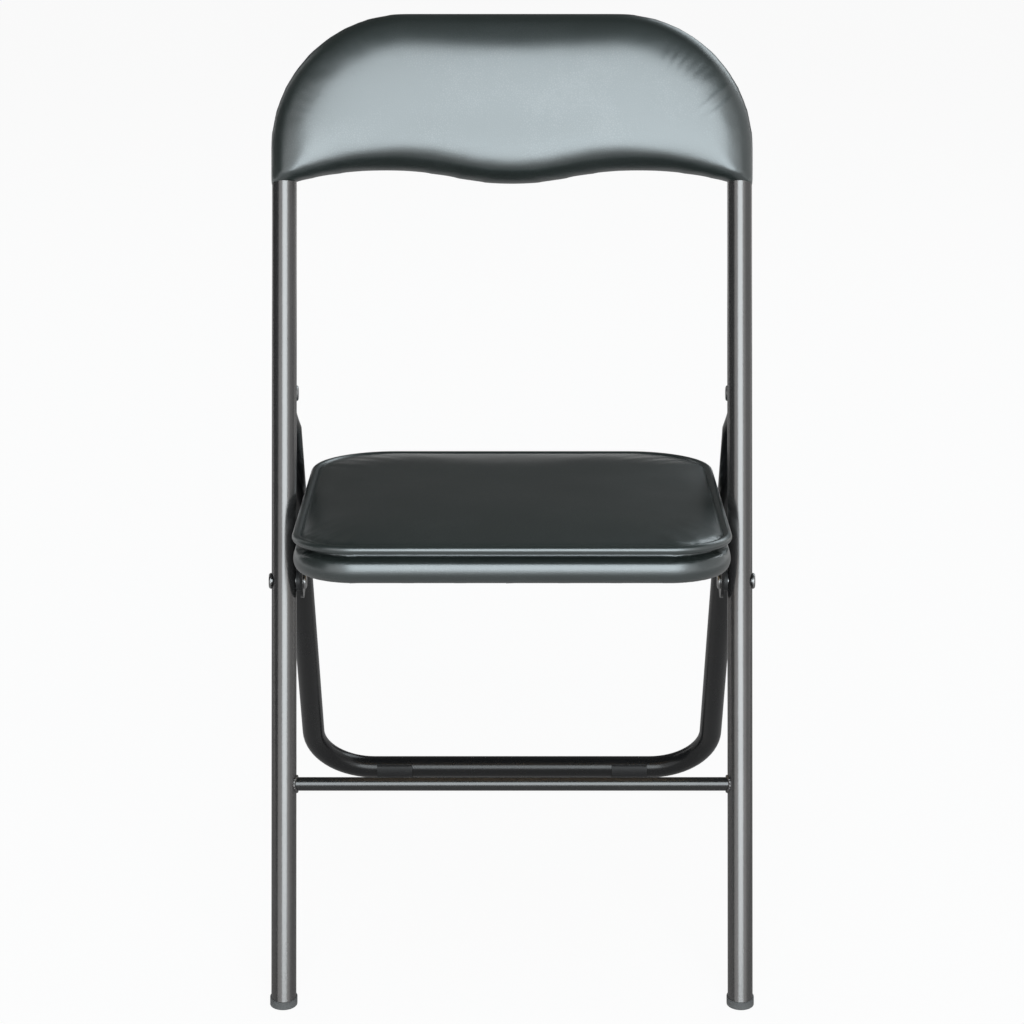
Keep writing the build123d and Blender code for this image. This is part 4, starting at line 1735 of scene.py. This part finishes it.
@dataclass
class Studio:
    """Pale floor, soft lights, dark flags that only reflections see, and the camera."""

    floor_size: float = 40.0
    floor_colour: Colour = (0.86, 0.86, 0.86)
    floor_glow: float = 0.93
    backdrop: Colour = (0.968, 0.968, 0.968)
    fill: Colour = (0.3, 0.305, 0.31)
    light_colour: Colour = (0.87, 0.96, 1.0)
    target: Vector = field(default_factory=lambda: Vector((0, -0.05, 0.5)))
    softboxes: tuple[Softbox, ...] = (
        Softbox("key_softbox", 6, 23, 3.0, (2.4, 2.4), 60.0),
        Softbox("top_softbox", 0, 80, 2.6, (1.8, 1.8), 16.0, mirrored=False),
        Softbox("left_rear_softbox", -142, 32, 3.2, (2.0, 1.4), 16.0, mirrored=False),
        Softbox("right_rear_softbox", 142, 32, 3.2, (2.0, 1.4), 16.0),
    )
    flags: tuple[Flag, ...] = (
        Flag("left_flag", -90, 0, (5.4, 4.4), 0.04),
        Flag("right_flag", 90, 0, (5.4, 4.4), 0.45),
        Flag("rear_flag", 180, 0, (7.4, 4.4), 0.065),
        Flag("roof_flag", 0, 90, (7.4, 7.4), 0.03),
        Flag("floor_flag", 0, -90, (4.4, 4.4), 0.3),
    )
    flag_distance: float = 3.7
    flag_gap: float = 2 * MM
    camera_place: Vector = field(default_factory=lambda: Vector((0, -2.5768, 1.2919)))
    camera_pitch_deg: float = 70.53
    lens_mm: float = 105.82
    sensor_mm: float = 36.0

    def build(self) -> None:
        """Set up the floor, the world, the lights, the flags and the camera."""
        bpy.context.scene.view_settings.view_transform = "Standard"
        self.build_floor()
        self.build_world()
        for box in self.softboxes:
            self.add_softbox(box)
        for flag in self.flags:
            self.add_flag(flag)
        self.build_camera()

    @staticmethod
    def seen(graph: Graph) -> Signal:
        """Make a mask of the rays that show the background.

        Args:
            graph: The graph to make it in.

        Returns:
            1 for a ray from the camera, a mirror or glass, and 0 for one that carries light.
        """
        path = graph.node("ShaderNodeLightPath").outputs
        names = ("Is Camera Ray", "Is Glossy Ray", "Is Transmission Ray")
        camera, glossy, through = (Signal(graph, path[name]) for name in names)
        return camera | glossy | through

    def build_floor(self) -> None:
        """Make the floor, which is white where it is lit and keeps the chair's shadow."""
        mesh = bmesh.new()
        bmesh.ops.create_grid(mesh, x_segments=1, y_segments=1, size=self.floor_size / 2)
        floor = add_object("floor", mesh)
        paper, graph = new_material("floor_paper")
        lit = graph.node("ShaderNodeBsdfDiffuse", inputs={"Color": (*self.floor_colour, 1.0)})
        glow = graph.node("ShaderNodeEmission", inputs={"Color": WHITE, "Strength": 1.0})
        share = self.floor_glow * self.seen(graph)
        mixed = graph.node("ShaderNodeMixShader", inputs={0: share, 1: lit.outputs[0], 2: glow.outputs[0]})
        graph.node("ShaderNodeOutputMaterial", inputs={"Surface": mixed.outputs[0]})
        floor.data.materials.append(paper)

    def build_world(self) -> None:
        """Make the world: white to the eye and to reflections, a soft fill as light."""
        world = bpy.data.worlds.new("studio")
        bpy.context.scene.world = world
        world.use_nodes = True
        graph = Graph(world.node_tree)
        light, pale = (
            graph.node("ShaderNodeBackground", inputs={"Color": (*colour, 1.0), "Strength": 1.0}).outputs[0]
            for colour in (self.fill, self.backdrop)
        )
        mixed = graph.node("ShaderNodeMixShader", inputs={0: self.seen(graph), 1: light, 2: pale})
        graph.node("ShaderNodeOutputWorld", inputs={"Surface": mixed.outputs[0]})

    def around(self, azimuth_deg: float, elevation_deg: float, distance: float) -> Matrix:
        """Find a place in a direction from the chair.

        Args:
            azimuth_deg: 0 in front of the chair, 90 to its right as seen from the front.
            elevation_deg: The angle above the horizon.
            distance: The distance from the target, in metres.

        Returns:
            A plane there, which faces the chair along -Z.
        """
        azimuth, elevation = math.radians(azimuth_deg), math.radians(elevation_deg)
        level = math.cos(elevation)
        way = Vector((math.sin(azimuth) * level, -math.cos(azimuth) * level, math.sin(elevation)))
        turn = way.to_track_quat("Z", "Y").to_matrix().to_4x4()
        return Matrix.Translation(self.target + way * distance) @ turn

    def add_softbox(self, box: Softbox) -> None:
        """Add a lamp.

        Args:
            box: The lamp's settings.
        """
        lamp = bpy.data.lights.new(box.name, "AREA")
        lamp.shape = "RECTANGLE"
        lamp.size, lamp.size_y = box.size
        lamp.energy = box.watts
        lamp.color = self.light_colour
        made = link_object(box.name, lamp)
        made.matrix_world = self.around(box.azimuth, box.elevation, box.distance)
        made.visible_camera = False
        made.visible_glossy = box.mirrored

    def add_flag(self, flag: Flag) -> None:
        """Add a dim panel.

        Args:
            flag: The panel's settings.
        """
        mesh = bmesh.new()
        bmesh.ops.create_grid(mesh, x_segments=1, y_segments=1, size=0.5)
        bmesh.ops.scale(mesh, vec=(*flag.size, 1), verts=mesh.verts)
        distance = self.flag_distance if flag.elevation >= 0 else self.target.z - self.flag_gap
        place = self.around(flag.azimuth, flag.elevation, distance)
        if flag.elevation == 0:
            place = place @ Matrix.Translation((0, flag.size[1] / 2 - self.target.z, 0))
        bmesh.ops.transform(mesh, matrix=place, verts=mesh.verts)
        panel = add_object(flag.name, mesh)
        cloth, graph = new_material(flag.name + "_cloth")
        dim = graph.node("ShaderNodeEmission", inputs={"Color": WHITE, "Strength": flag.glow})
        graph.node("ShaderNodeOutputMaterial", inputs={"Surface": dim.outputs[0]})
        panel.data.materials.append(cloth)
        panel.visible_camera = False
        panel.visible_diffuse = False
        panel.visible_shadow = False

    def build_camera(self) -> None:
        """Add the camera at the photograph's viewing angle."""
        lens = bpy.data.cameras.new("photo_camera")
        lens.lens = self.lens_mm
        lens.sensor_width = self.sensor_mm
        camera = link_object("photo_camera", lens)
        camera.location = self.camera_place
        camera.rotation_euler = (math.radians(self.camera_pitch_deg), 0, 0)
        bpy.context.scene.camera = camera


def main() -> None:
    """Build the chair's looks and the studio."""
    logging.basicConfig(level=logging.INFO, format="%(message)s")
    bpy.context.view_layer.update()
    Frames().dress()
    Seat().build()
    Back().build()
    Fixings().build()
    Studio().build()


if __name__ == "__main__":
    main()
